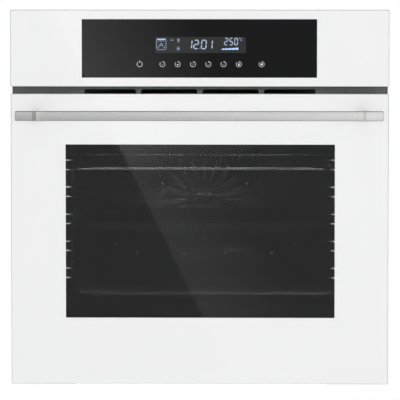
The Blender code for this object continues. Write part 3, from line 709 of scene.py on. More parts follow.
# %% Printed sheets
def printed_sheet(box, radius, chamfer, areas):
    """A pane with printed areas. areas are (left, right, low, high, material number), and
    a later one lies over an earlier one. Material 0 is the ground and 1 the rim."""
    low, high = box

    def rim(inset, y):
        return inset_outline(low, high, inset, radius, 6), y

    rings = [
        rim(chamfer, low.y),
        rim(0, low.y + chamfer),
        rim(0, high.y - chamfer),
        rim(chamfer, high.y),
    ]
    bm = bmesh.new()
    loops = [[bm.verts.new((x, y, z)) for x, z in outline] for outline, y in rings]
    for one, other in zip(loops, loops[1:]):
        for i in range(len(one)):
            j = (i + 1) % len(one)
            face = bm.faces.new((one[i], one[j], other[j], other[i]))
            face.material_index = 1
    for loop, (outline, y) in ((loops[0], rings[0]), (loops[-1], rings[-1])):
        points = [Vector(p) for p in outline]
        edges = [(i, (i + 1) % len(points)) for i in range(len(points))]
        for left, right, bottom, top, _ in areas:
            first = len(points)
            for p in ((left, bottom), (right, bottom), (right, top), (left, top)):
                points.append(Vector(p))
            edges += [(first + i, first + (i + 1) % 4) for i in range(4)]
        spots, _, faces, sources, _, _ = delaunay_2d_cdt(points, edges, [], 1, 1e-7)
        verts = []
        for spot, source in zip(spots, sources):
            on_rim = [s for s in source if s < len(outline)]
            verts.append(loop[on_rim[0]] if on_rim else bm.verts.new((spot.x, y, spot.y)))
        for corners in faces:
            face = bm.faces.new([verts[c] for c in corners])
            middle = sum((spots[c] for c in corners), Vector((0, 0))) / len(corners)
            for left, right, bottom, top, number in areas:
                if left < middle.x < right and bottom < middle.y < top:
                    face.material_index = number
    bmesh.ops.recalc_face_normals(bm, faces=bm.faces)
    return bm


# %% Control fascia
CORNER = 0.0025
CHAMFER = 0.0008
WINDOW_HALF = 0.1852
control_area = (-WINDOW_HALF, WINDOW_HALF - 0.0009, 0.4886, 0.5805, 2)
display_area = (-0.0694, 0.0725, 0.5274, 0.5526, 3)
fascia = keep(
    "fascia_sheet",
    printed_sheet(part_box("fascia_glass"), CORNER, CHAMFER, [control_area, display_area]),
    [white_print, glass_edge, black_print, display_print],
    "chassis",
    ["fascia_glass"],
)
print("fascia faces:", len(fascia.data.polygons))

# %% Door glass
door_area = (-0.2111, 0.2127, 0.1098, 0.3836, 2)
door_sheet = keep(
    "door_front_sheet",
    printed_sheet(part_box("door_outer_glass"), CORNER, CHAMFER, [door_area]),
    [white_print, glass_edge, smoked_pane],
    "door",
    ["door_outer_glass"],
)
print("door sheet faces:", len(door_sheet.data.polygons))

# %% [markdown]
# ## Display
#
# A segment display shows each digit with up to seven short bars. They are flat hexagons, drawn by
# rule from the digit's box and leaning a little, as such displays do. The bars and icons are thin
# inlays that stand a twentieth of a millimetre out of the glass, so no two faces share a plane.

# %% Inlay helpers
INLAY_FRONT = FRONT_Y - 0.00005
INLAY_BACK = FRONT_Y + 0.00020
PRINT_SHIFT = 0.9


def inlay(outline, front=INLAY_FRONT):
    """A thin closed slab with this outline, given in millimetres as (x, z) points."""
    points = in_metres([(x - PRINT_SHIFT, z) for x, z in outline])
    return lofted([at_y(points, front), at_y(points, INLAY_BACK)])


def print_signs(name, outlines, material, front=INLAY_FRONT):
    """All these outlines as one piece of print or light on the control glass."""
    keep(name, merged([inlay(o, front) for o in outlines]), material, "chassis")


def band(centre, inner, outer, start, end, steps=24):
    """Part of a flat ring between two angles."""
    return arc(centre, outer, start, end, steps) + arc(centre, inner, end, start, steps)


def hoop(centre, inner, outer, steps=32):
    """A whole flat ring, made of two half rings."""
    half = steps // 2
    return [band(centre, inner, outer, 0, 180, half), band(centre, inner, outer, 180, 360, half)]


def lean(outline, middle_z, amount):
    """The outline slanted to the right above the middle and to the left below it."""
    return [(x + amount * (z - middle_z), z) for x, z in outline]


# %% Segment digits
SEGMENTS = {"0": "abcdef", "1": "bc", "2": "abged", "5": "afgcd", "C": "afed"}


def digit(sign, left, right, low, high, stroke):
    """The outlines of one digit's lit bars."""
    half, gap = stroke / 2, stroke * 0.14
    middle_z = (low + high) / 2
    near, far = left + half, right - half
    rows = {"a": high - half, "g": middle_z, "d": low + half}
    sides = {"f": (near, 1), "b": (far, 1), "e": (near, 0), "c": (far, 0)}
    found = []
    for name in SEGMENTS[sign]:
        if name in rows:
            z, a, b = rows[name], near + gap, far - gap
            outline = [(a, z), (a + half, z - half), (b - half, z - half)]
            outline += [(b, z), (b - half, z + half), (a + half, z + half)]
        else:
            x, upper = sides[name]
            a = (middle_z if upper else low + half) + gap
            b = (high - half if upper else middle_z) - gap
            outline = [(x, a), (x + half, a + half), (x + half, b - half)]
            outline += [(x, b), (x - half, b - half), (x - half, a + half)]
        found.append(lean(outline, middle_z, 0.07))
    return found


STROKE = 1.75
clock = []
for sign, left, right in (
    ("1", -18.7, -10.5),
    ("2", -8.6, -0.4),
    ("0", 3.2, 12.0),
    ("1", 13.4, 21.5),
):
    clock += digit(sign, left, right, 533.4, 548.3, STROKE)
degrees = []
for sign, left, right in (("2", 39.5, 45.6), ("5", 47.6, 53.4), ("0", 55.2, 61.2)):
    degrees += digit(sign, left, right, 539.4, 551.3, 1.45)
degrees += digit("C", 65.2, 68.2, 546.2, 551.0, 0.8)
degrees += hoop((63.6, 550.4), 0.35, 0.85, 12)
print_signs("display_digits", clock + degrees, digit_blue)
colon = [round_rectangle(0.5, 2.0, z - 0.75, z + 0.75, 0.4, 3) for z in (534.6, 541.4)]
print("lit bars:", len(clock) + len(degrees))

# %% Display icons
bright = [round_rectangle(-66.2, -52.4, 548.3, 549.9, 0.7, 4)]
BAR_CELLS, CELL_LEFT, CELL_STEP, CELL_WIDTH, CELL_LOW = 5, 35.6, 5.35, 4.6, 532.4
for k in range(BAR_CELLS):
    a = CELL_LEFT + CELL_STEP * k
    b = a + CELL_WIDTH
    top_a, top_b = CELL_LOW + 1.7 + 0.35 * k, CELL_LOW + 1.9 + 0.35 * (k + 1)
    bright.append([(a, CELL_LOW), (b, CELL_LOW), (b, top_b), (a, top_a)])
print_signs("display_bars", bright, bar_blue)
fan_sign = [
    arc((-59.3, 541.9), 1.1, 0, 360, 11)[:-1],
    arc((-61.3, 539.4), 1.1, 0, 360, 11)[:-1],
    arc((-57.3, 539.4), 1.1, 0, 360, 11)[:-1],
    round_rectangle(-64.8, -63.2, 535.6, 537.0, 0.5, 3),
    round_rectangle(-55.4, -53.8, 535.6, 537.0, 0.5, 3),
]
for x in (-62.9, -60.5, -58.1, -55.7):
    fan_sign.append(round_rectangle(x - 0.55, x + 0.55, 545.6, 547.4, 0.3, 2))
dim = [
    round_rectangle(-67.4, -66.0, 533.6, 548.0, 0.6, 3),
    round_rectangle(-52.6, -51.2, 533.6, 548.0, 0.6, 3),
    round_rectangle(-66.0, -52.6, 532.1, 533.5, 0.6, 3),
    [(-45.0, 547.6), (-42.9, 545.8), (-42.9, 549.4)],
    round_rectangle(-42.7, -39.7, 547.0, 548.2, 0.3, 2),
    arc((-32.3, 547.9), 2.2, 0, 360, 18)[:-1],
    round_rectangle(-33.4, -31.2, 543.5, 545.4, 0.4, 2),
    round_rectangle(-34.9, -30.3, 531.8, 535.4, 0.5, 3),
    band((-32.6, 535.5), 1.1, 2.1, 0, 180, 10),
    *colon,
]
print_signs("display_mode_sign", fan_sign, digit_blue)
print_signs("display_icons", dim, icon_blue)

# %% [markdown]
# ## Touch symbols
#
# Under the display lies a row of printed touch fields. The first is the usual power sign. The
# others are rings with a gap at the upper left and a sign in the middle for each field: a lamp, a
# clock hand, minus and so on.

# %% Touch symbols
SYMBOL_Z = 509.9
RING_IN, RING_OUT = 3.55, 4.6


def hooked_ring(x):
    """A ring that is open at the upper left, with a short hook into its middle."""
    centre = (x, SYMBOL_Z)
    hook = [
        (x - 0.5, SYMBOL_Z + 4.5),
        (x + 0.3, SYMBOL_Z + 4.4),
        (x + 1.6, SYMBOL_Z + 2.0),
        (x + 1.0, SYMBOL_Z + 1.7),
    ]
    return [band(centre, RING_IN, RING_OUT, -228, 82, 30), hook]


def dot(x, radius, rise=0.0):
    return arc((x, SYMBOL_Z + rise), radius, 0, 360, 14)[:-1]


def bar(x, half_width, half_height, rise=0.0):
    z = SYMBOL_Z + rise
    return round_rectangle(x - half_width, x + half_width, z - half_height, z + half_height, 0.2, 2)


grey_signs = [band((-93.3, SYMBOL_Z), RING_IN, RING_OUT, -240, 60, 30)]
grey_signs += [bar(-93.3, 0.65, 1.9, 4.0)]
white_signs = []
for x in (-57.5, -33.5, -9.5, 14.5, 38.4, 62.5, 98.2):
    grey_signs += hooked_ring(x)
grey_signs += [dot(-57.5, 0.8, -0.6), bar(-9.5, 0.4, 1.4, -0.4), bar(14.5, 1.3, 0.4, -0.8)]
grey_signs += [bar(38.4, 1.2, 0.38, -0.8)]
white_signs += [dot(-33.5, 1.0, -0.7)]
white_signs += [dot(62.5, 1.15, -1.0)]
white_signs += [[(61.5, SYMBOL_Z - 0.7), (63.5, SYMBOL_Z - 0.7), (62.5, SYMBOL_Z + 2.2)]]
white_signs += [dot(98.2, 1.5, -0.2)]
print_signs("touch_symbols", grey_signs, symbol_grey)
MARK_FRONT = INLAY_FRONT - 0.00003
print_signs("touch_marks", white_signs, symbol_white, MARK_FRONT)
print("touch fields: 8")

# %% [markdown]
# ## Handle
#
# The handle is a flat extruded bar of brushed aluminium with rounded edges and end caps. It is
# lofted along its length: each station is the same rounded rectangle. Near each end, where the
# stud sits behind it, the face rises to a low ridge and falls again. The ridge's outer slope has a
# painted shade and its inner slope a painted highlight, in darker and lighter copies of the metal.

# %% Handle bar
bar_low, bar_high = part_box("handle_bar")


def bar_section(x, inset, recess):
    """The bar's outline at x. inset shrinks it all round and recess lowers its face."""
    outline = round_rectangle(
        bar_low.y + inset + recess,
        bar_high.y - inset,
        bar_low.z + inset,
        bar_high.z - inset,
        0.0011,
        5,
    )
    return [(x, y, z) for y, z in outline]


RIDGE_IN, RIDGE_TOP, RIDGE_OUT, RIDGE_HEIGHT = 0.2485, 0.2545, 0.2610, 0.0003
stations = [(bar_high.x, 0.0006, RIDGE_HEIGHT), (bar_high.x - 0.0005, 0.0, RIDGE_HEIGHT)]
for start, end, rise in ((RIDGE_OUT, RIDGE_TOP, 1), (RIDGE_TOP, RIDGE_IN, -1)):
    for share in (-0.06, 0.04, 0.96, 1.06):
        level = min(1.0, max(0.0, share))
        recess = RIDGE_HEIGHT * (1 - level if rise > 0 else level)
        if not (rise < 0 and share < 0.0):
            stations.append((start + (end - start) * share, 0.0, recess))
right_half = [bar_section(*station) for station in stations]
left_half = [bar_section(-x, inset, recess) for x, inset, recess in reversed(stations)]
bar = lofted(right_half + left_half)
# The outer slope of each ridge gets the painted shade, and the inner slope the painted highlight.
for face in bar.faces:
    reach = abs(face.calc_center_median().x)
    if RIDGE_TOP < reach < RIDGE_OUT:
        face.material_index = 1
    elif RIDGE_IN < reach < RIDGE_TOP:
        face.material_index = 2
handle = keep(
    "handle_bar_brushed",
    bar,
    [handle_metal, ridge_painted_shade, ridge_painted_highlight],
    "door",
    ["handle_bar"],
)
# A studio's light comes from all round, so the bar throws no shadow on the white glass.
handle.visible_shadow = False
handle.visible_diffuse = False
for side in ("left", "right"):
    low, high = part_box(f"{side}_handle_post")
    keep(
        f"{side}_handle_stud",
        block(low, high, 0.0012, 3),
        handle_metal,
        "door",
        [f"{side}_handle_post"],
    )
print("handle stations:", 2 * len(stations))

# %% [markdown]
# ## Geometry Nodes for what repeats
#
# Wires, blades, slots, screws and louvres follow rules, so small Geometry Nodes trees make them.
# Each tree has named inputs for its sizes, realises its instances and sets its material. `grow`
# runs a tree on a base mesh and brings back a plain mesh, so nothing live is left behind.

# %% Tree helpers
def new_tree(name, **inputs):
    """A tree whose inputs are named and typed by their first values."""
    made = bpy.data.node_groups.new(name, "GeometryNodeTree")
    made.is_modifier = True
    face = made.interface
    face.new_socket("Geometry", in_out="INPUT", socket_type="NodeSocketGeometry")
    kinds = {int: "NodeSocketInt", float: "NodeSocketFloat", tuple: "NodeSocketVector"}
    for label, value in inputs.items():
        kind = kinds.get(type(value), "NodeSocketObject")
        socket = face.new_socket(label.replace("_", " "), in_out="INPUT", socket_type=kind)
        if value is not None:
            socket.default_value = value
    face.new_socket("Material", in_out="INPUT", socket_type="NodeSocketMaterial")
    face.new_socket("Geometry", in_out="OUTPUT", socket_type="NodeSocketGeometry")
    return made, node(made, "NodeGroupInput")


def close_tree(tree, given, geometry):
    """Realises the instances, sets the material and ends the tree."""
    real = node(tree, "GeometryNodeRealizeInstances", inputs={0: geometry})
    finish_given = {"Geometry": real.outputs[0], "Material": given.outputs["Material"]}
    paint = node(tree, "GeometryNodeSetMaterial", inputs=finish_given)
    node(tree, "NodeGroupOutput", inputs={0: paint.outputs[0]})


def grow(tree, base, material, **values):
    """Runs a tree on a base mesh with these inputs and returns the mesh it makes."""
    holder = bpy.data.objects.new("holder", base)
    scene.collection.objects.link(holder)
    modifier = holder.modifiers.new("grow", "NODES")
    modifier.node_group = tree
    values["Material"] = material
    given = {name.replace("_", " "): value for name, value in values.items()}
    for item in tree.interface.items_tree:
        if item.in_out == "INPUT" and item.name in given:
            modifier[item.identifier] = given[item.name]
    graph = bpy.context.evaluated_depsgraph_get()
    mesh = bpy.data.meshes.new_from_object(holder.evaluated_get(graph), depsgraph=graph)
    bpy.data.objects.remove(holder)
    return mesh


def lines(*paths, closed=False):
    """Paths of points, in metres, as a mesh of edges only."""
    points, edges = [], []
    for path_points in paths:
        first = len(points)
        points += [tuple(p) for p in path_points]
        edges += [(first + i, first + i + 1) for i in range(len(path_points) - 1)]
        if closed:
            edges.append((len(points) - 1, first))
    mesh = bpy.data.meshes.new("lines")
    mesh.from_pydata(points, edges, [])
    return mesh


def local(*points):
    """Places given in millimetres as (x, behind the glass front, z), in metres."""
    return [(x * MM, FRONT_Y + y * MM, z * MM) for x, y, z in points]


# %% Tree: rod along a path
rod_tree, given = new_tree("rod_along_path", Radius=0.002, Bend=0.004, Bend_Steps=4, Sides=12)
path = node(rod_tree, "GeometryNodeMeshToCurve", inputs={"Mesh": given.outputs["Geometry"]})
corners = {
    "Curve": path.outputs[0],
    "Radius": given.outputs["Bend"],
    "Count": given.outputs["Bend Steps"],
    "Limit Radius": True,
}
fillet = node(rod_tree, "GeometryNodeFilletCurve", mode="POLY", inputs=corners)
section = {"Resolution": given.outputs["Sides"], "Radius": given.outputs["Radius"]}
circle = node(rod_tree, "GeometryNodeCurvePrimitiveCircle", inputs=section)
sweep = node(
    rod_tree,
    "GeometryNodeCurveToMesh",
    inputs={"Curve": fillet.outputs[0], "Profile Curve": circle.outputs[0], "Fill Caps": True},
)
close_tree(rod_tree, given, sweep.outputs[0])


# %% Tree: copies round an axis
def copies_on(tree, points, piece, **inputs):
    """One copy of the piece on each point."""
    places = {"Points": points, "Instance": piece, **inputs}
    return node(tree, "GeometryNodeInstanceOnPoints", inputs=places).outputs[0]


round_tree, given = new_tree(
    "copies_round_axis", Count=8, Axis=(0.0, 1.0, 0.0), Centre=(0.0, 0.0, 0.0)
)
same_place = {
    "Count": given.outputs["Count"],
    "Start Location": given.outputs["Centre"],
    "Offset": (0, 0, 0),
}
row = node(round_tree, "GeometryNodeMeshLine", inputs=same_place)
number = node(round_tree, "GeometryNodeInputIndex").outputs[0]
share = math_node(round_tree, "DIVIDE", number, given.outputs["Count"])
angle = math_node(round_tree, "MULTIPLY", share, 2 * math.pi)
turn = {"Axis": given.outputs["Axis"], "Angle": angle}
turning = node(round_tree, "FunctionNodeAxisAngleToRotation", inputs=turn).outputs[0]
copies = copies_on(round_tree, row.outputs[0], given.outputs["Geometry"], Rotation=turning)
close_tree(round_tree, given, copies)

# %% Tree: copies on a grid
grid_tree, given = new_tree(
    "copies_on_grid",
    Across=3,
    Across_Step=(0.05, 0.0, 0.0),
    Down=2,
    Down_Step=(0.0, 0.0, -0.02),
)
copies = given.outputs["Geometry"]
for direction in ("Across", "Down"):
    spacing = {"Count": given.outputs[direction], "Offset": given.outputs[f"{direction} Step"]}
    row = node(grid_tree, "GeometryNodeMeshLine", inputs=spacing)
    copies = copies_on(grid_tree, row.outputs[0], copies)
close_tree(grid_tree, given, copies)
print("node trees:", len(bpy.data.node_groups))


def joined(meshes):
    """Several finished meshes of one material as one bmesh."""
    whole = bmesh.new()
    for mesh in meshes:
        whole.from_mesh(mesh)
        bpy.data.meshes.remove(mesh)
    for face in whole.faces:
        face.material_index = 0
    return whole


# %% [markdown]
# ## Wire shelf and side racks
#
# A wire shelf is a bent round frame with thinner bars welded on top of it. The side racks are
# ladders of wire in pairs: a shelf slides in between two wires and can't tip. All of them are
# rods along paths, chromed.

# %% Wire shelf
low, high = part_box("wire_shelf")
FRAME_RADIUS, BAR_RADIUS = 0.003, 0.0015
frame_z = low.z + FRAME_RADIUS
outline = inset_outline(low, high, FRAME_RADIUS, 0.014, 6, (0, 1))
FRONT_DIP, DIP_REACH = 0.0034, 0.014


def dipped(y):
    """The height of the frame: its front rail lies a little lower than its sides."""
    share = min(1.0, (y - low.y - FRAME_RADIUS) / DIP_REACH)
    return frame_z - FRONT_DIP * (1 - share * share * (3 - 2 * share))


frame_path = [(x, y, dipped(y)) for x, y in outline]
shelf_frame = grow(rod_tree, lines(frame_path, closed=True), chrome, Radius=FRAME_RADIUS, Bend=0.0)
bar_z = high.z - BAR_RADIUS
BARS, FIRST_BAR, BAR_STEP = 13, -0.18, 0.03
bar_paths = []
for k in range(BARS):
    x = FIRST_BAR + BAR_STEP * k
    bar_paths.append(
        [
            (x, low.y + 0.0024, bar_z - FRONT_DIP),
            (x, low.y + 0.0075, bar_z - FRONT_DIP),
            (x, low.y + 0.0190, bar_z),
            (x, high.y - 0.001, bar_z),
        ]
    )
shelf_bars = grow(rod_tree, lines(*bar_paths), chrome, Radius=BAR_RADIUS, Bend=0.006)
rods = joined([shelf_frame, shelf_bars])
keep("wire_shelf_rods", rods, chrome, "wire_shelf", ["wire_shelf"], 50)
print("shelf bars:", len(bar_paths))

# %% Side racks
LEVELS = [167.0 + 43.2 * n for n in range(5)]
PAIR_GAP = 15.0
POST_X, WIRE_X, FOOT_X = 224, 205.5, 229.4
WIRE_PATH = [(POST_X, 70.5), (WIRE_X, 76), (WIRE_X, 395), (POST_X, 399.5)]
POST_Y, POST_LOW, POST_HIGH, FEET_Z = (70, 400), 145.2, 372.6, (153, 364.8)
for side, sign in SIDES:
    rods = []
    for level in LEVELS:
        for z in (level, level + PAIR_GAP):
            rods.append(local(*[(sign * x, y, z) for x, y in WIRE_PATH]))
    runners = grow(rod_tree, lines(*rods), chrome, Radius=0.002, Bend=0.004)
    post_x, foot_x = sign * POST_X, sign * FOOT_X
    posts = [local((post_x, y, POST_LOW), (post_x, y, POST_HIGH)) for y in POST_Y]
    uprights = grow(rod_tree, lines(*posts), chrome, Radius=0.0025, Bend=0.0)
    pins = [local((post_x, y, z), (foot_x, y, z)) for y in POST_Y for z in FEET_Z]
    feet = grow(rod_tree, lines(*pins), chrome, Radius=0.0022, Bend=0.0)
    rack = joined([runners, uprights, feet])
    replaced = [f"{side}_side_rack"]
    keep(f"{side}_rack_wires", rack, chrome, "chassis", replaced, 50)
print("runner wires:", 4 * len(LEVELS))

# %% [markdown]
# ## Baking tray
#
# The tray is pressed from sheet steel and enamelled. Its rim is rolled, its wall slopes and its
# floor is flat with a soft radius all round. It is a loft of rounded rectangles, inside and out.

# %% Baking tray
low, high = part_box("baking_tray")
T = 0.0012


def tray_ring(inset, z, radius):
    """The tray's outline, this far inside its rim, at one height."""
    return [(x, y, z) for x, y in inset_outline(low, high, inset, radius, 8, (0, 1))]


floor_z, rim_z = low.z, high.z
sections = [
    (0.0265, floor_z + T, 0.014),
    (0.0225, floor_z + 1.7 * T, 0.016),
    (0.0195, floor_z + 3.5 * T, 0.017),
    (0.0165, rim_z - 3 * T, 0.018),
    (0.0155, rim_z - 1.0 * T, 0.019),
    (0.0135, rim_z - 0.15 * T, 0.020),
    (0.0120, rim_z, 0.021),
    (0.0016, rim_z, 0.0255),
    (0.0004, rim_z - 0.25 * T, 0.026),
    (0.0, rim_z - 0.5 * T, 0.026),
    (0.0004, rim_z - 0.8 * T, 0.026),
    (0.0016, rim_z - T, 0.0255),
    (0.0145, rim_z - T, 0.020),
    (0.0166, rim_z - 2.0 * T, 0.019),
    (0.0178, rim_z - 4 * T, 0.018),
    (0.0208, floor_z + 2.9 * T, 0.017),
    (0.0238, floor_z + 0.9 * T, 0.016),
    (0.0275, floor_z, 0.014),
]
tray = lofted([tray_ring(*section) for section in sections])
keep("baking_tray_enamelled", tray, enamel, "baking_tray", ["baking_tray"], 50)

# %% [markdown]
# ## Oven liner
#
# The liner is a pressed and enamelled steel box, open to the front, with large round corners and
# a flange where the gasket sits. Its rear wall has a pressed ring, which stiffens the sheet.

# %% Oven liner
low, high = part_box("cavity")
LINER_HALF, LINER_LOW, LINER_HIGH = 0.230, 0.092, 0.428
MOUTH_Y, REAR_Y = FRONT_Y + 0.0476, FRONT_Y + 0.459
WALL = 0.0015


def liner_ring(grow_by, y, radius=0.030):
    sides = (-LINER_HALF - grow_by, LINER_HALF + grow_by, LINER_LOW - grow_by, LINER_HIGH + grow_by)
    return at_y(round_rectangle(*sides, max(0.002, radius + grow_by), 10), y)


flange = [
    at_y(round_rectangle(low.x, high.x, low.z, high.z, 0.004, 10), y)
    for y in (MOUTH_Y + WALL, MOUTH_Y)
]
MOUTH = [(0.0060, 0.0), (0.0030, 0.0006), (0.0010, 0.0024), (0.0, 0.0055)]
REAR = [(0.0, -0.012), (-0.0012, -0.0066), (-0.0050, -0.0020), (-0.0120, 0.0)]
PRESS = [(0.046, 0.0), (0.049, -0.0008), (0.053, -0.0008), (0.056, 0.0)]
inner_rings = [liner_ring(wider, MOUTH_Y + depth) for wider, depth in MOUTH]
inner_rings += [liner_ring(wider, REAR_Y + depth) for wider, depth in REAR]
inner_rings += [liner_ring(-inset, REAR_Y + rise, 0.10) for inset, rise in PRESS]
outer_rings = [
    liner_ring(-0.0120, REAR_Y + WALL),
    liner_ring(-0.0040, REAR_Y - 0.0008),
    liner_ring(WALL, REAR_Y - 0.010),
    liner_ring(WALL, MOUTH_Y + 0.008),
    liner_ring(0.0060, MOUTH_Y + WALL),
]
liner = lofted([*reversed(inner_rings), flange[1], flange[0], *reversed(outer_rings)])
keep("oven_liner", liner, enamel, "chassis", ["cavity"], 40)
BEAD_CENTRE, BEAD_RADIUS = (0.0, 308.0), 208.0
beads = [
    local(*[(x, 458.9, z) for x, z in arc(BEAD_CENTRE, BEAD_RADIUS, start, end, 16)])
    for start, end in ((203, 217), (323, 337))
]
keep(
    "rear_wall_beads",
    grow(rod_tree, lines(*beads), enamel, Radius=0.0016, Bend=0.0),
    enamel,
    "chassis",
)
print("liner rings:", len(inner_rings) + len(outer_rings) + 2)

# %% [markdown]
# ## Fan cover, fan and heaters
#
# The fan cover is a pressed pan with twenty radial slots. Each slot's edge is turned out as a
# small lip, which stiffens the sheet and catches the light. One lip is swept round one slot and
# copied round the fan's axis.

# %% Fan cover
low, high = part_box("fan_baffle")
fan_low, fan_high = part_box("convection_fan")
FAN_Z = (fan_low.z + fan_high.z) / 2
SLOTS = 20
FAN_CENTRE = (0.0, low.y, FAN_Z)
SLOT_IN, SLOT_OUT, SLOT_HALF = 0.028, 0.070, 0.0025
slot_outline = arc((SLOT_OUT - SLOT_HALF, 0), SLOT_HALF, -90, 90, 6)
slot_outline += arc((SLOT_IN + SLOT_HALF, 0), SLOT_HALF, 90, 270, 6)


def round_the_fan(outline, angle):
    c, s = math.cos(angle), math.sin(angle)
    return [(c * x - s * z, FAN_Z + s * x + c * z) for x, z in outline]


step = 2 * math.pi / SLOTS
cover_slots = [round_the_fan(slot_outline, k * step) for k in range(SLOTS)]
face = plate(inset_outline(low, high, 0.004, 0.021, 8), cover_slots, 0.001, 0.0002)
moved(face, (0, low.y, 0))


def cover_ring(inset, y):
    return at_y(inset_outline(low, high, inset, 0.025 - inset, 8), y)


OUTSIDE = [(0.0055, 0.0), (0.0025, 0.0006), (0.0008, 0.0022), (0.0, 0.0050)]
INSIDE = [(0.001, 0.0054), (0.0018, 0.0030), (0.0032, 0.0016), (0.0055, 0.0010)]
skirt_rings = [cover_ring(inset, low.y + depth) for inset, depth in OUTSIDE]
skirt_rings += [cover_ring(inset, high.y) for inset in (0.0, 0.001)]
skirt_rings += [cover_ring(inset, low.y + depth) for inset, depth in INSIDE]
skirt = lofted(skirt_rings, ring=True)
lip_path = [(x, 0.0, z) for x, z in slot_outline]
lip = grow(rod_tree, lines(lip_path, closed=True), enamel, Radius=0.0007, Bend=0.0, Sides=8)
lips = grow(round_tree, lip, enamel, Count=SLOTS, Axis=(0.0, 1.0, 0.0), Centre=FAN_CENTRE)
boss = turned(
    [(0.0, -0.0012), (0.010, -0.0012), (0.014, -0.0002), (0.014, 0.0004), (0.0, 0.0004)],
    FAN_CENTRE,
)
cover = merged([face, skirt, boss])
cover.from_mesh(lips)
bpy.data.meshes.remove(lips)
for f in cover.faces:
    f.material_index = 0
keep("fan_cover_enamelled", cover, enamel, "chassis", ["fan_baffle"], 40)
print("fan slots:", SLOTS)

# %% [markdown]
# A screw is a turned pan head with a cross recess. Its profile is spun round, and the cross is
# pressed in by lowering the points that lie in it. One tree then sets it on every place that
# needs one.

# %% Screws
def screw_head(radius, height):
    """A pan head that looks along +Z, with a cross recess."""
    bm = bmesh.new()
    rings, steps = [], 24
    profile = [(1.0, 0.0), (0.97, 0.45), (0.8, 0.82), (0.55, 1.0), (0.5, 1.0)]
    for share, rise in profile:
        ring = []
        for k in range(steps):
            angle = 2 * math.pi * k / steps
            spot = (radius * share * math.cos(angle), radius * share * math.sin(angle))
            ring.append(bm.verts.new((*spot, height * rise)))
        rings.append(ring)
    inner, floor = [], []
    for k in range(steps):
        angle = 2 * math.pi * k / steps
        reach = 0.46 if k % 6 in (0, 1, 5) else 0.2
        x, y = radius * reach * math.cos(angle), radius * reach * math.sin(angle)
        inner.append(bm.verts.new((x, y, height * 0.98)))
        floor.append(bm.verts.new((x * 0.86, y * 0.86, height * 0.25)))
    rings += [inner, floor]
    for one, other in zip(rings, rings[1:]):
        bridged(bm, one, other)
    bm.faces.new(floor)
    bm.faces.new(rings[0])
    bmesh.ops.recalc_face_normals(bm, faces=bm.faces)
    return as_mesh(bm, "screw")


screws_tree, given = new_tree("pieces_on_points", Piece=None, Turn=(0.0, 0.0, 0.0))
piece_in = {"Object": given.outputs["Piece"]}
source = node(screws_tree, "GeometryNodeObjectInfo", inputs=piece_in).outputs["Geometry"]
spots_in = {"Mesh": given.outputs["Geometry"]}
spots = node(screws_tree, "GeometryNodeMeshToPoints", inputs=spots_in).outputs[0]
copies = copies_on(screws_tree, spots, source, Rotation=given.outputs["Turn"])
close_tree(screws_tree, given, copies)
FACING = {
    "front": (math.pi / 2, 0.0, 0.0),
    "back": (-math.pi / 2, 0.0, 0.0),
    "left": (0.0, -math.pi / 2, 0.0),
    "right": (0.0, math.pi / 2, 0.0),
    "up": (0.0, 0.0, 0.0),
}


def set_screws(name, places, facing, body, material, radius=0.0035, height=0.0018):
    """Screw heads at these places, in metres, all looking one way."""
    head = bpy.data.objects.new("head", screw_head(radius, height))
    scene.collection.objects.link(head)
    mesh = grow(
        screws_tree, lines(*[[p] for p in places]), material, Piece=head, Turn=FACING[facing]
    )
    bpy.data.objects.remove(head)
    keep(name, mesh, material, body, smooth=30)


cover_spots = [(152, 193), (34.5, 177.5), (114, 177.5), (71, 295.6)]
cover_places = [(side * x, 426, z) for x, z in cover_spots for side in (-1, 1)]
places = local(*cover_places)
set_screws("fan_cover_screws", places, "front", "chassis", screw_metal, 0.0026, 0.0014)
print("fan cover screws:", len(cover_places))

# %% Convection fan
low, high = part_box("convection_fan")
RADIUS = (high.x - low.x) / 2
disc = turned(
    [(0.0045, 0.0), (RADIUS, 0.0), (RADIUS, 0.0012), (0.0045, 0.0012)],
    (0.0, FRONT_Y + 0.4528, FAN_Z),
    steps=64,
)
hub = turned(
    [(0.0, -0.0072), (0.0070, -0.0072), (0.0085, -0.006), (0.0088, 0.0), (0.0, 0.0)],
    (0.0, FRONT_Y + 0.4530, FAN_Z),
)
shaft = turned(
    [(0.0, -0.0005), (0.0035, -0.0005), (0.0035, 0.0395), (0.0, 0.0395)],
    (0.0, FRONT_Y + 0.4540, FAN_Z),
)
blade_profile = [(30, 0), (40, 3.5), (52, 6), (63, 7), (71, 7)]
blade = bmesh.new()
blade_rows = []
for side_shift in (0.0, 1.0):
    for depth in (-13.6, 0.0):
        blade_rows.append(
            [blade.verts.new((x * MM, depth * MM, (z + side_shift) * MM)) for x, z in blade_profile]
        )
for a, b in ((0, 1), (2, 3), (0, 2), (1, 3)):
    for k in range(len(blade_profile) - 1):
        one, other = blade_rows[a], blade_rows[b]
        blade.faces.new((one[k], one[k + 1], other[k + 1], other[k]))
for k in (0, -1):
    blade.faces.new([blade_rows[r][k] for r in (0, 1, 3, 2)])
bmesh.ops.recalc_face_normals(blade, faces=blade.faces)
blades = grow(
    round_tree,
    as_mesh(blade),
    fan_metal,
    Count=8,
    Axis=(0.0, 1.0, 0.0),
    Centre=(0.0, FRONT_Y + 0.4531, FAN_Z),
)
fan = merged([disc, hub, shaft])
fan.from_mesh(blades)
keep(
    "convection_fan_wheel",
    fan,
    fan_metal,
    "convection_fan",
    ["convection_fan"],
    30,
)

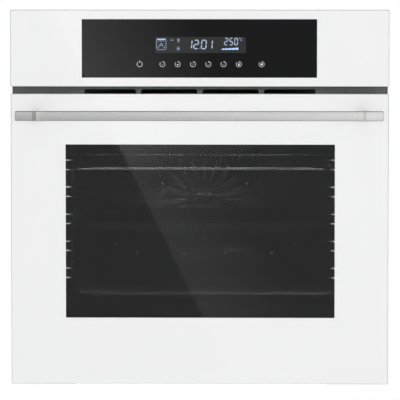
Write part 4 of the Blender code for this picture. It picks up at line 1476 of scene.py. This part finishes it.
# %% Heaters
HEATER_RADIUS = (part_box("grill_element")[1].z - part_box("grill_element")[0].z) / 2
COLUMNS = (-170, -100, -35, 35, 100, 170)
grill = [(-15, 488, 412), (-15, 420, 412), (COLUMNS[0], 420, 412)]
for n, x in enumerate(COLUMNS):
    near, far = 95, (420 if n in (0, len(COLUMNS) - 1) else 372)
    first, last = (near, far) if n % 2 else (far, near)
    grill += [(x, first, 412), (x, last, 412)]
grill += [(15, 420, 412), (15, 488, 412)]
grill = [p for p, q in zip(grill, grill[1:] + [None]) if p != q]
grill_mesh = grow(
    rod_tree,
    lines(local(*grill)),
    heater_metal,
    Radius=HEATER_RADIUS,
    Bend=0.014,
    Bend_Steps=7,
)
keep("grill_heater", grill_mesh, heater_metal, "chassis", ["grill_element"], 50)
RING_RADIUS = 95.0
fan_z = FAN_Z / MM
ring_low = fan_z - RING_RADIUS
ring_path = [(12, 488, ring_low), (12, 453, ring_low)]
ring_path += [(x, 447, z) for x, z in arc((0, fan_z), RING_RADIUS, -82, 262, 56)]
ring_path += [(-12, 453, ring_low), (-12, 488, ring_low)]
ring_mesh = grow(rod_tree, lines(local(*ring_path)), heater_metal, Radius=HEATER_RADIUS, Bend=0.0)
keep("ring_heater", ring_mesh, heater_metal, "chassis", ["ring_element"], 50)

# %% Lamp and probe
low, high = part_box("lamp_glass")
lamp_x, lamp_z = (low.x + high.x) / 2, (low.z + high.z) / 2
ribs = [(0.0240 + (0.0007 if k % 2 else 0.0), 0.0020 + 0.0165 * k / 16) for k in range(17)]
dome = [(0.0, 0.0003), (0.0090, 0.0006), (0.0160, 0.0010), (0.0215, 0.0014)]
inside = [(0.0222, 0.0182), (0.0218, 0.0050), (0.0150, 0.0034), (0.0, 0.0028)]
cover = turned(dome + ribs + inside, (lamp_x, low.y, lamp_z), steps=48)
keep("lamp_cover", cover, lamp_pane, "chassis", ["lamp_glass"], 25)
low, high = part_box("temperature_probe")
probe_x, probe_z = (low.x + high.x) / 2, (low.z + high.z) / 2
tip = [(0.0, 0.0), (0.0016, 0.0004), (0.0027, 0.0018), (0.0030, 0.0040)]
stem = [(0.0030, 0.0480), (0.0058, 0.0484), (0.0060, 0.0545), (0.0030, 0.0550)]
keep(
    "temperature_sensor",
    turned([*tip, *stem, (0.0030, 0.0826), (0.0, 0.0826)], (probe_x, low.y, probe_z)),
    chrome,
    "chassis",
    ["temperature_probe"],
)
print("heaters, lamp and probe made")

# %% [markdown]
# ## Gasket
#
# The seal round the mouth is a braided tube. Its braid shows as short slanted ribs, so the sweep
# is followed by a fine wave across its surface.

# %% Gasket
low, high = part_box("door_gasket")
GASKET_RADIUS = (high.y - low.y) / 2
seal_outline = inset_outline(low, high, GASKET_RADIUS, 0.024, 12)
dense = []
for (x0, z0), (x1, z1) in zip(seal_outline, seal_outline[1:] + seal_outline[:1]):
    pieces_here = max(1, round(math.hypot(x1 - x0, z1 - z0) / 0.0035))
    dense += [
        (x0 + (x1 - x0) * k / pieces_here, z0 + (z1 - z0) * k / pieces_here)
        for k in range(pieces_here)
    ]
seal_y = (low.y + high.y) / 2
seal_mesh = grow(
    rod_tree,
    lines([(x, seal_y, z) for x, z in dense], closed=True),
    seal,
    Radius=GASKET_RADIUS - 0.0002,
    Bend=0.0,
    Sides=16,
)
for number_here, vertex in enumerate(seal_mesh.vertices):
    ring_number, place_round = divmod(number_here, 16)
    wave = math.sin(2.2 * ring_number + 2 * math.pi * place_round / 8)
    vertex.co += vertex.normal * 0.0002 * wave
keep("gasket_braided", seal_mesh, seal, "chassis", ["door_gasket"], 80)
print("gasket points:", len(dense))

# %% [markdown]
# Cycles can link a light to a collection of receivers. The wires and the lips of the fan cover
# get their glints this way, and the enamel behind them isn't washed out.

# %% Linked lights
LIT_PIECES = {
    "handle_gleam": ["handle_bar_brushed"],
    "shelf_strip": ["wire_shelf_rods", "left_rack_wires", "right_rack_wires"],
    "slot_spark_left": ["fan_cover_enamelled", "fan_cover_screws", "rear_wall_beads"],
    "slot_spark_right": ["fan_cover_enamelled", "fan_cover_screws", "rear_wall_beads"],
    "runner_strip_left": ["left_rack_wires"],
    "runner_strip_right": ["right_rack_wires"],
}
for lamp_name, piece_names in LIT_PIECES.items():
    receivers = bpy.data.collections.new(f"{lamp_name}_receivers")
    for piece_name in piece_names:
        receivers.objects.link(bpy.data.objects[piece_name])
    linked_lamps[lamp_name].light_linking.receiver_collection = receivers
print("linked lights:", len(LIT_PIECES))

# %% [markdown]
# ## Inside the door
#
# Behind the front glass the door holds two thin middle panes in grooved metal stiles, and an
# inner pane with a wide black printed border that hides the metalwork. The border is printed
# round a clear field, in the same way as on the front sheet.

# %% Inner glass
inner_sheet = keep(
    "inner_glass_sheet",
    printed_sheet(
        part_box("door_inner_glass"), 0.008, 0.0006, [(-0.2265, 0.2265, 0.0920, 0.4020, 2)]
    ),
    [black_border, glass_edge, inner_pane],
    "door",
    ["door_inner_glass"],
)
print("inner sheet faces:", len(inner_sheet.data.polygons))

# %% [markdown]
# Small screws hold the stiles to the rails, and four larger ones hold the oven's front frame in
# its cabinet. The tree that sets one screw on many places makes both rows.

# %% Screws of the door and the frame
door_spots = [(side * 258.5, 33.6, z) for side in (-1, 1) for z in (200, 300, 400)]
set_screws("door_stile_screws", local(*door_spots), "back", "door", screw_metal, 0.0026, 0.0003)
frame_spots = [(side * 285, 22, z) for side in (-1, 1) for z in (130, 420)]
set_screws("cabinet_screws", local(*frame_spots), "front", "chassis", screw_metal, 0.0042, 0.0020)
print("door and frame screws:", len(door_spots) + len(frame_spots))

# %% [markdown]
# Each hinge is pulled by a coil spring with hooked ends. The coil is a helix followed by the rod
# tree, so the wire is round and evenly wound.

# %% Hinge springs
SPRING_TURNS, SPRING_STEPS = 22, 14
for side, sign in SIDES:
    low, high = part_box(f"{side}_hinge_spring")
    wire_radius = 0.0007
    coil_radius = (high.y - low.y) / 2 - wire_radius
    centre_x, centre_y = (low.x + high.x) / 2, (low.y + high.y) / 2
    count = SPRING_TURNS * SPRING_STEPS
    coil = []
    for n in range(count + 1):
        angle = 2 * math.pi * n / SPRING_STEPS
        rise = low.z + 0.002 + (high.z - low.z - 0.004) * n / count
        spot = (
            centre_x + coil_radius * math.cos(angle),
            centre_y + coil_radius * math.sin(angle),
            rise,
        )
        coil.append(spot)
    keep(
        f"{side}_coil_spring",
        grow(rod_tree, lines(coil), chrome, Radius=wire_radius, Bend=0.0, Sides=8),
        chrome,
        "door",
        [f"{side}_hinge_spring"],
        60,
    )
print("spring turns:", 2 * SPRING_TURNS)

# %% [markdown]
# ## Air strip
#
# Between the door and the control panel lies a recessed dark strip with four wide slots, through
# which the cooling air leaves. It is one plate with rounded slots, drawn as an outline with
# holes and given the thickness of sheet.

# %% Air strip
low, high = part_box("vent_trim")
SLOT_SPANS = [(-182, -101), (-92.5, -4.3), (4.3, 92.5), (101, 182)]
holes = []
for left, right in SLOT_SPANS:
    span = (left * MM, right * MM, 0.4555, 0.4698)
    holes.append(round_rectangle(*span, 0.0035, 6))
strip_outline = round_rectangle(low.x, high.x, low.z, high.z, 0.001, 3)
strip = moved(plate(strip_outline, holes, 0.0012, 0.0002, 2), (0, low.y, 0))
keep("air_strip", strip, vent_coat, "chassis", ["vent_trim"], 40)
print("air slots:", len(holes))

# %% [markdown]
# ## Casing
#
# The casing is thin galvanised sheet. Makers press shallow fields into such sheets, because a
# flat one would drum. `pressed_sheet` lays a grid whose lines follow the edges of the fields and
# slots, so every pressed edge is exact, and gives the grid a thickness. The other way, a bump in
# the material, would leave the outline and the mesh flat.

# %% Pressed sheets
RAMP = (0.0, 0.15, 0.35, 0.65, 0.85, 1.0)


def eased(value):
    """A share between 0 and 1 that starts and ends softly."""
    value = min(1.0, max(0.0, value))
    return value * value * (3 - 2 * value)


def grid_lines(start, end, marks):
    return sorted({round(v, 6) for v in [start, end, *marks] if start <= v <= end})


def pressed_sheet(size_a, size_b, fields, slots, thickness, spot):
    """A sheet over two spans. Fields are (a0, a1, b0, b1, ramp, rise), slots are
    (a0, a1, b0, b1), and spot(a, b, depth) gives the place of a point."""
    marks_a, marks_b = [], []
    for a0, a1, b0, b1, ramp, _ in fields:
        for share in RAMP:
            marks_a += [a0 + ramp * share, a1 - ramp * share]
            marks_b += [b0 + ramp * share, b1 - ramp * share]
    for a0, a1, b0, b1 in slots:
        marks_a += [a0, a1]
        marks_b += [b0, b1]
    grid_a, grid_b = grid_lines(*size_a, marks_a), grid_lines(*size_b, marks_b)

    def rise_at(a, b):
        total = 0.0
        for a0, a1, b0, b1, ramp, rise in fields:
            side = eased(min(a - a0, a1 - a) / ramp) * eased(min(b - b0, b1 - b) / ramp)
            total += rise * side
        return total

    def open_here(i, j):
        if not (0 <= i < len(grid_a) - 1 and 0 <= j < len(grid_b) - 1):
            return True
        a = (grid_a[i] + grid_a[i + 1]) / 2
        b = (grid_b[j] + grid_b[j + 1]) / 2
        return any(a0 < a < a1 and b0 < b < b1 for a0, a1, b0, b1 in slots)

    bm = bmesh.new()
    layers = []
    for depth in (0.0, thickness):
        layers.append(
            [[bm.verts.new(spot(a, b, rise_at(a, b) - depth)) for b in grid_b] for a in grid_a]
        )
    for i in range(len(grid_a) - 1):
        for j in range(len(grid_b) - 1):
            if open_here(i, j):
                continue
            ring = [(i, j), (i + 1, j), (i + 1, j + 1), (i, j + 1)]
            for layer in layers:
                bm.faces.new([layer[p][q] for p, q in ring])
            around = [(i, j - 1), (i + 1, j), (i, j + 1), (i - 1, j)]
            for k, beside in enumerate(around):
                if open_here(*beside):
                    (p, q), (r, s) = ring[k], ring[(k + 1) % 4]
                    bm.faces.new(
                        (layers[0][p][q], layers[0][r][s], layers[1][r][s], layers[1][p][q])
                    )
    bmesh.ops.delete(bm, geom=[v for v in bm.verts if not v.link_faces], context="VERTS")
    bmesh.ops.recalc_face_normals(bm, faces=bm.faces)
    return bm


# %% Side panels
SHEET = 0.0012
PRESS_RISE, PRESS_RAMP = 0.0016, 0.010
MARGIN_Y, MARGIN_Z = 0.040, 0.050
BELT_LOW, BELT_HIGH = 0.285, 0.315
for side, sign in SIDES:
    low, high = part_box(f"{side}_side_panel")
    outer = sign * max(abs(low.x), abs(high.x))

    def side_spot(a, b, depth):
        return outer + sign * depth, a, b

    span = (low.y + MARGIN_Y, high.y - MARGIN_Y)
    fields = [
        (*span, low.z + MARGIN_Z, BELT_LOW, PRESS_RAMP, PRESS_RISE),
        (*span, BELT_HIGH, high.z - MARGIN_Z, PRESS_RAMP, PRESS_RISE),
    ]
    slots = []
    for row in range(5):
        z = 0.355 + 0.016 * row
        slots.append((high.y - 0.150, high.y - 0.110, z, z + 0.005))
    wall_top = high.z - SHEET
    wall = pressed_sheet((low.y, high.y), (low.z, wall_top), fields, slots, SHEET, side_spot)
    lip_x = sorted((outer, outer - sign * 0.022))
    lip = block((lip_x[0], low.y, wall_top), (lip_x[1], high.y, high.z), 0.0002, 1)
    keep(
        f"{side}_casing_wall",
        merged([wall, lip]),
        galvanised,
        "chassis",
        [f"{side}_side_panel"],
        25,
    )
    places = [(outer, y, z) for y in (low.y + 0.012, high.y - 0.012) for z in (0.03, 0.30, 0.56)]
    set_screws(f"{side}_casing_screws", places, side, "chassis", screw_metal, 0.0038, 0.0020)
print("side panels pressed, 12 screws")

# %% Top cover
low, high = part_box("top_cover")


def top_spot(a, b, depth):
    return a, b, high.z + depth


top_fields = [
    (low.x + 0.030, high.x - 0.030, low.y + 0.025, FRONT_Y + 0.270, 0.010, -0.0014),
    (low.x + 0.030, -0.145, FRONT_Y + 0.295, high.y - 0.030, 0.010, -0.0014),
    (0.145, high.x - 0.030, FRONT_Y + 0.295, high.y - 0.030, 0.010, -0.0014),
]
top_slots = []
for x in (-100, -50, 0, 50, 100):
    for y in (300, 330, 360, 390):
        centre_y = FRONT_Y + y * MM
        top_slots.append(((x - 17) * MM, (x + 17) * MM, centre_y - 0.003, centre_y + 0.003))
spans = ((low.x, high.x), (low.y, high.y))
top = pressed_sheet(*spans, top_fields, top_slots, SHEET, top_spot)
keep("top_casing_sheet", top, galvanised, "chassis", ["top_cover"], 25)
top_places = [(x, low.y + 0.012, high.z) for x in (-0.265, 0.0, 0.265)]
set_screws("top_casing_screws", top_places, "up", "chassis", screw_metal, 0.0038, 0.0020)
print("top slots:", len(top_slots))

# %% [markdown]
# ## Louvred rear cover
#
# The rear cover lets air in through slots that are each roofed by a small pressed hood, so that
# nothing falls in from above. One hood is lofted from side to side: its section swells to the
# middle and dies out at both ends. The grid tree then repeats it.

# %% Rear cover
low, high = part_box("rear_cover")


def rear_spot(a, b, depth):
    return a, high.y + depth, b


SLOT_LONG, SLOT_TALL = 0.040, 0.006
LOUVRE_STEP = 0.055
rear_slots = []
for z in (0.070, 0.090, 0.110, 0.500, 0.520):
    for n in range(-2, 3):
        x = LOUVRE_STEP * n
        rear_slots.append(
            (x - SLOT_LONG / 2, x + SLOT_LONG / 2, z - SLOT_TALL / 2, z + SLOT_TALL / 2)
        )
gland_low, gland_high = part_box("cable_gland")
gland_x, gland_z = (gland_low.x + gland_high.x) / 2, (gland_low.z + gland_high.z) / 2
GLAND_HOLE = 0.0088
rear_slots.append(
    (gland_x - GLAND_HOLE, gland_x + GLAND_HOLE, gland_z - GLAND_HOLE, gland_z + GLAND_HOLE)
)
rear_fields = [(-0.235, 0.235, 0.150, 0.460, 0.012, 0.0016)]
rear_sheet = pressed_sheet(
    (low.x, high.x), (low.z, high.z), rear_fields, rear_slots, SHEET, rear_spot
)
HOOD_HEIGHT, HOOD_SHEET = 0.0042, 0.0008
hood_sections = []
for n in range(13):
    across = -1 + 2 * n / 12
    swell = 0.12 + 0.88 * math.sqrt(max(0.0, 1 - across**4))
    outer_arc, inner_arc = [], []
    for k in range(7):
        turn = math.radians(90 * k / 6)
        out, drop = HOOD_HEIGHT * swell * math.sin(turn), 0.0078 * (1 - math.cos(turn))
        outer_arc.append((across * 0.0205, out + 0.0001, 0.0044 - drop))
        shrink = max(0.0, 1 - HOOD_SHEET / (HOOD_HEIGHT * swell))
        inner_arc.append((across * 0.0205, out * shrink, 0.0044 - HOOD_SHEET - drop * 0.9))
    hood_sections.append(outer_arc + inner_arc[::-1])
hood = as_mesh(lofted(hood_sections), "hood")
hood_rows = []
for top_row, rows in ((0.110, 3), (0.520, 2)):
    copies_here = grow(
        grid_tree,
        hood.copy(),
        galvanised,
        Across=5,
        Across_Step=(LOUVRE_STEP, 0.0, 0.0),
        Down=rows,
        Down_Step=(0.0, 0.0, -0.020),
    )
    start = Vector((-2 * LOUVRE_STEP, high.y, top_row))
    for vertex in copies_here.vertices:
        vertex.co += start
    hood_rows.append(copies_here)
louvres = joined(hood_rows)
rear = merged([rear_sheet, louvres])
keep("rear_casing_sheet", rear, galvanised, "chassis", ["rear_cover"], 25)
rear_places = [(x, high.y, z) for x in (-0.262, 0.262) for z in (0.02, 0.20, 0.38, 0.565)]
set_screws("rear_casing_screws", rear_places, "back", "chassis", screw_metal, 0.0038, 0.0020)
print("louvres: 25")

# %% [markdown]
# The mains lead would enter through a plastic gland: a six-sided nut, a domed cap with grip ribs
# and a bore. It is turned, with more or less radius round the axis for the flats and the ribs.

# %% Cable gland
GLAND_STEPS = 72
stem = [(0.0046, 0.0), (0.0080, 0.0), (0.0084, 0.0006), (0.0084, 0.0078)]
nut = [(0.0128, 0.0080), (0.0130, 0.0086), (0.0130, 0.0134), (0.0124, 0.0142)]
cap = [(0.0104, 0.0144), (0.0104, 0.0188), (0.0088, 0.0208), (0.0060, 0.0212), (0.0046, 0.0208)]
gland_profile = stem + nut + cap
stretch = (gland_high.y - gland_low.y) / gland_profile[-2][1]
gland_profile = [(radius, along * stretch) for radius, along in gland_profile]
gland = turned(gland_profile, (gland_x, gland_low.y, gland_z), steps=GLAND_STEPS)
for vertex in gland.verts:
    along = vertex.co.y - gland_low.y
    x, z = vertex.co.x - gland_x, vertex.co.z - gland_z
    radius, angle = math.hypot(x, z), math.atan2(z, x)
    share = 1.0
    if radius > 0.0120:
        share = math.cos(math.pi / 6) / math.cos((angle % (math.pi / 3)) - math.pi / 6)
    elif radius > 0.0100 and along > 0.0143:
        share = 1 - 0.035 * (round(angle * 36 / math.pi) % 2)
    vertex.co.x, vertex.co.z = gland_x + x * share, gland_z + z * share
keep("cable_gland_moulded", gland, black_plastic, "chassis", ["cable_gland"], 25)
print("gland points:", GLAND_STEPS * len(gland_profile))

# %% [markdown]
# ## The CAD nodes that stay
#
# Pieces whose CAD shape is already right keep it and only get their finish. They are listed here
# by finish.

# %% CAD finishes
CAD_FINISHES = [
    (galvanised, "air_duct base_plate blower_housing blower_wheel heat_shield"),
    (galvanised, "left_hinge_receiver right_hinge_receiver left_hinge_arm right_hinge_arm"),
    (galvanised, "left_hinge_body right_hinge_body control_housing"),
    (motor_metal, "blower_motor convection_motor"),
    (heater_metal, "bottom_element"),
    (board_mask, "control_board touch_board"),
    (black_plastic, "display_module fascia_carrier thermal_cutout terminal_block"),
    (rail_metal, "door_bottom_rail door_top_rail"),
    (stile_metal, "left_door_stile right_door_stile"),
    (inner_pane, "door_middle_glass_front door_middle_glass_rear"),
    (frame_coat, "front_frame"),
    (wool, "insulation"),
    (lamp_pane, "lamp_bulb"),
    (steatite, "lamp_holder"),
]

# %% Finishes for the CAD nodes
kept_nodes = set()
for material, names in CAD_FINISHES:
    for name in names.split():
        node_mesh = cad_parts[name].data
        node_mesh.materials.clear()
        node_mesh.materials.append(material)
        kept_nodes.add(name)
shown = {n for n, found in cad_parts.items() if not found.hide_render}
print("CAD nodes finished:", len(kept_nodes), "- still plain:", sorted(shown - kept_nodes))
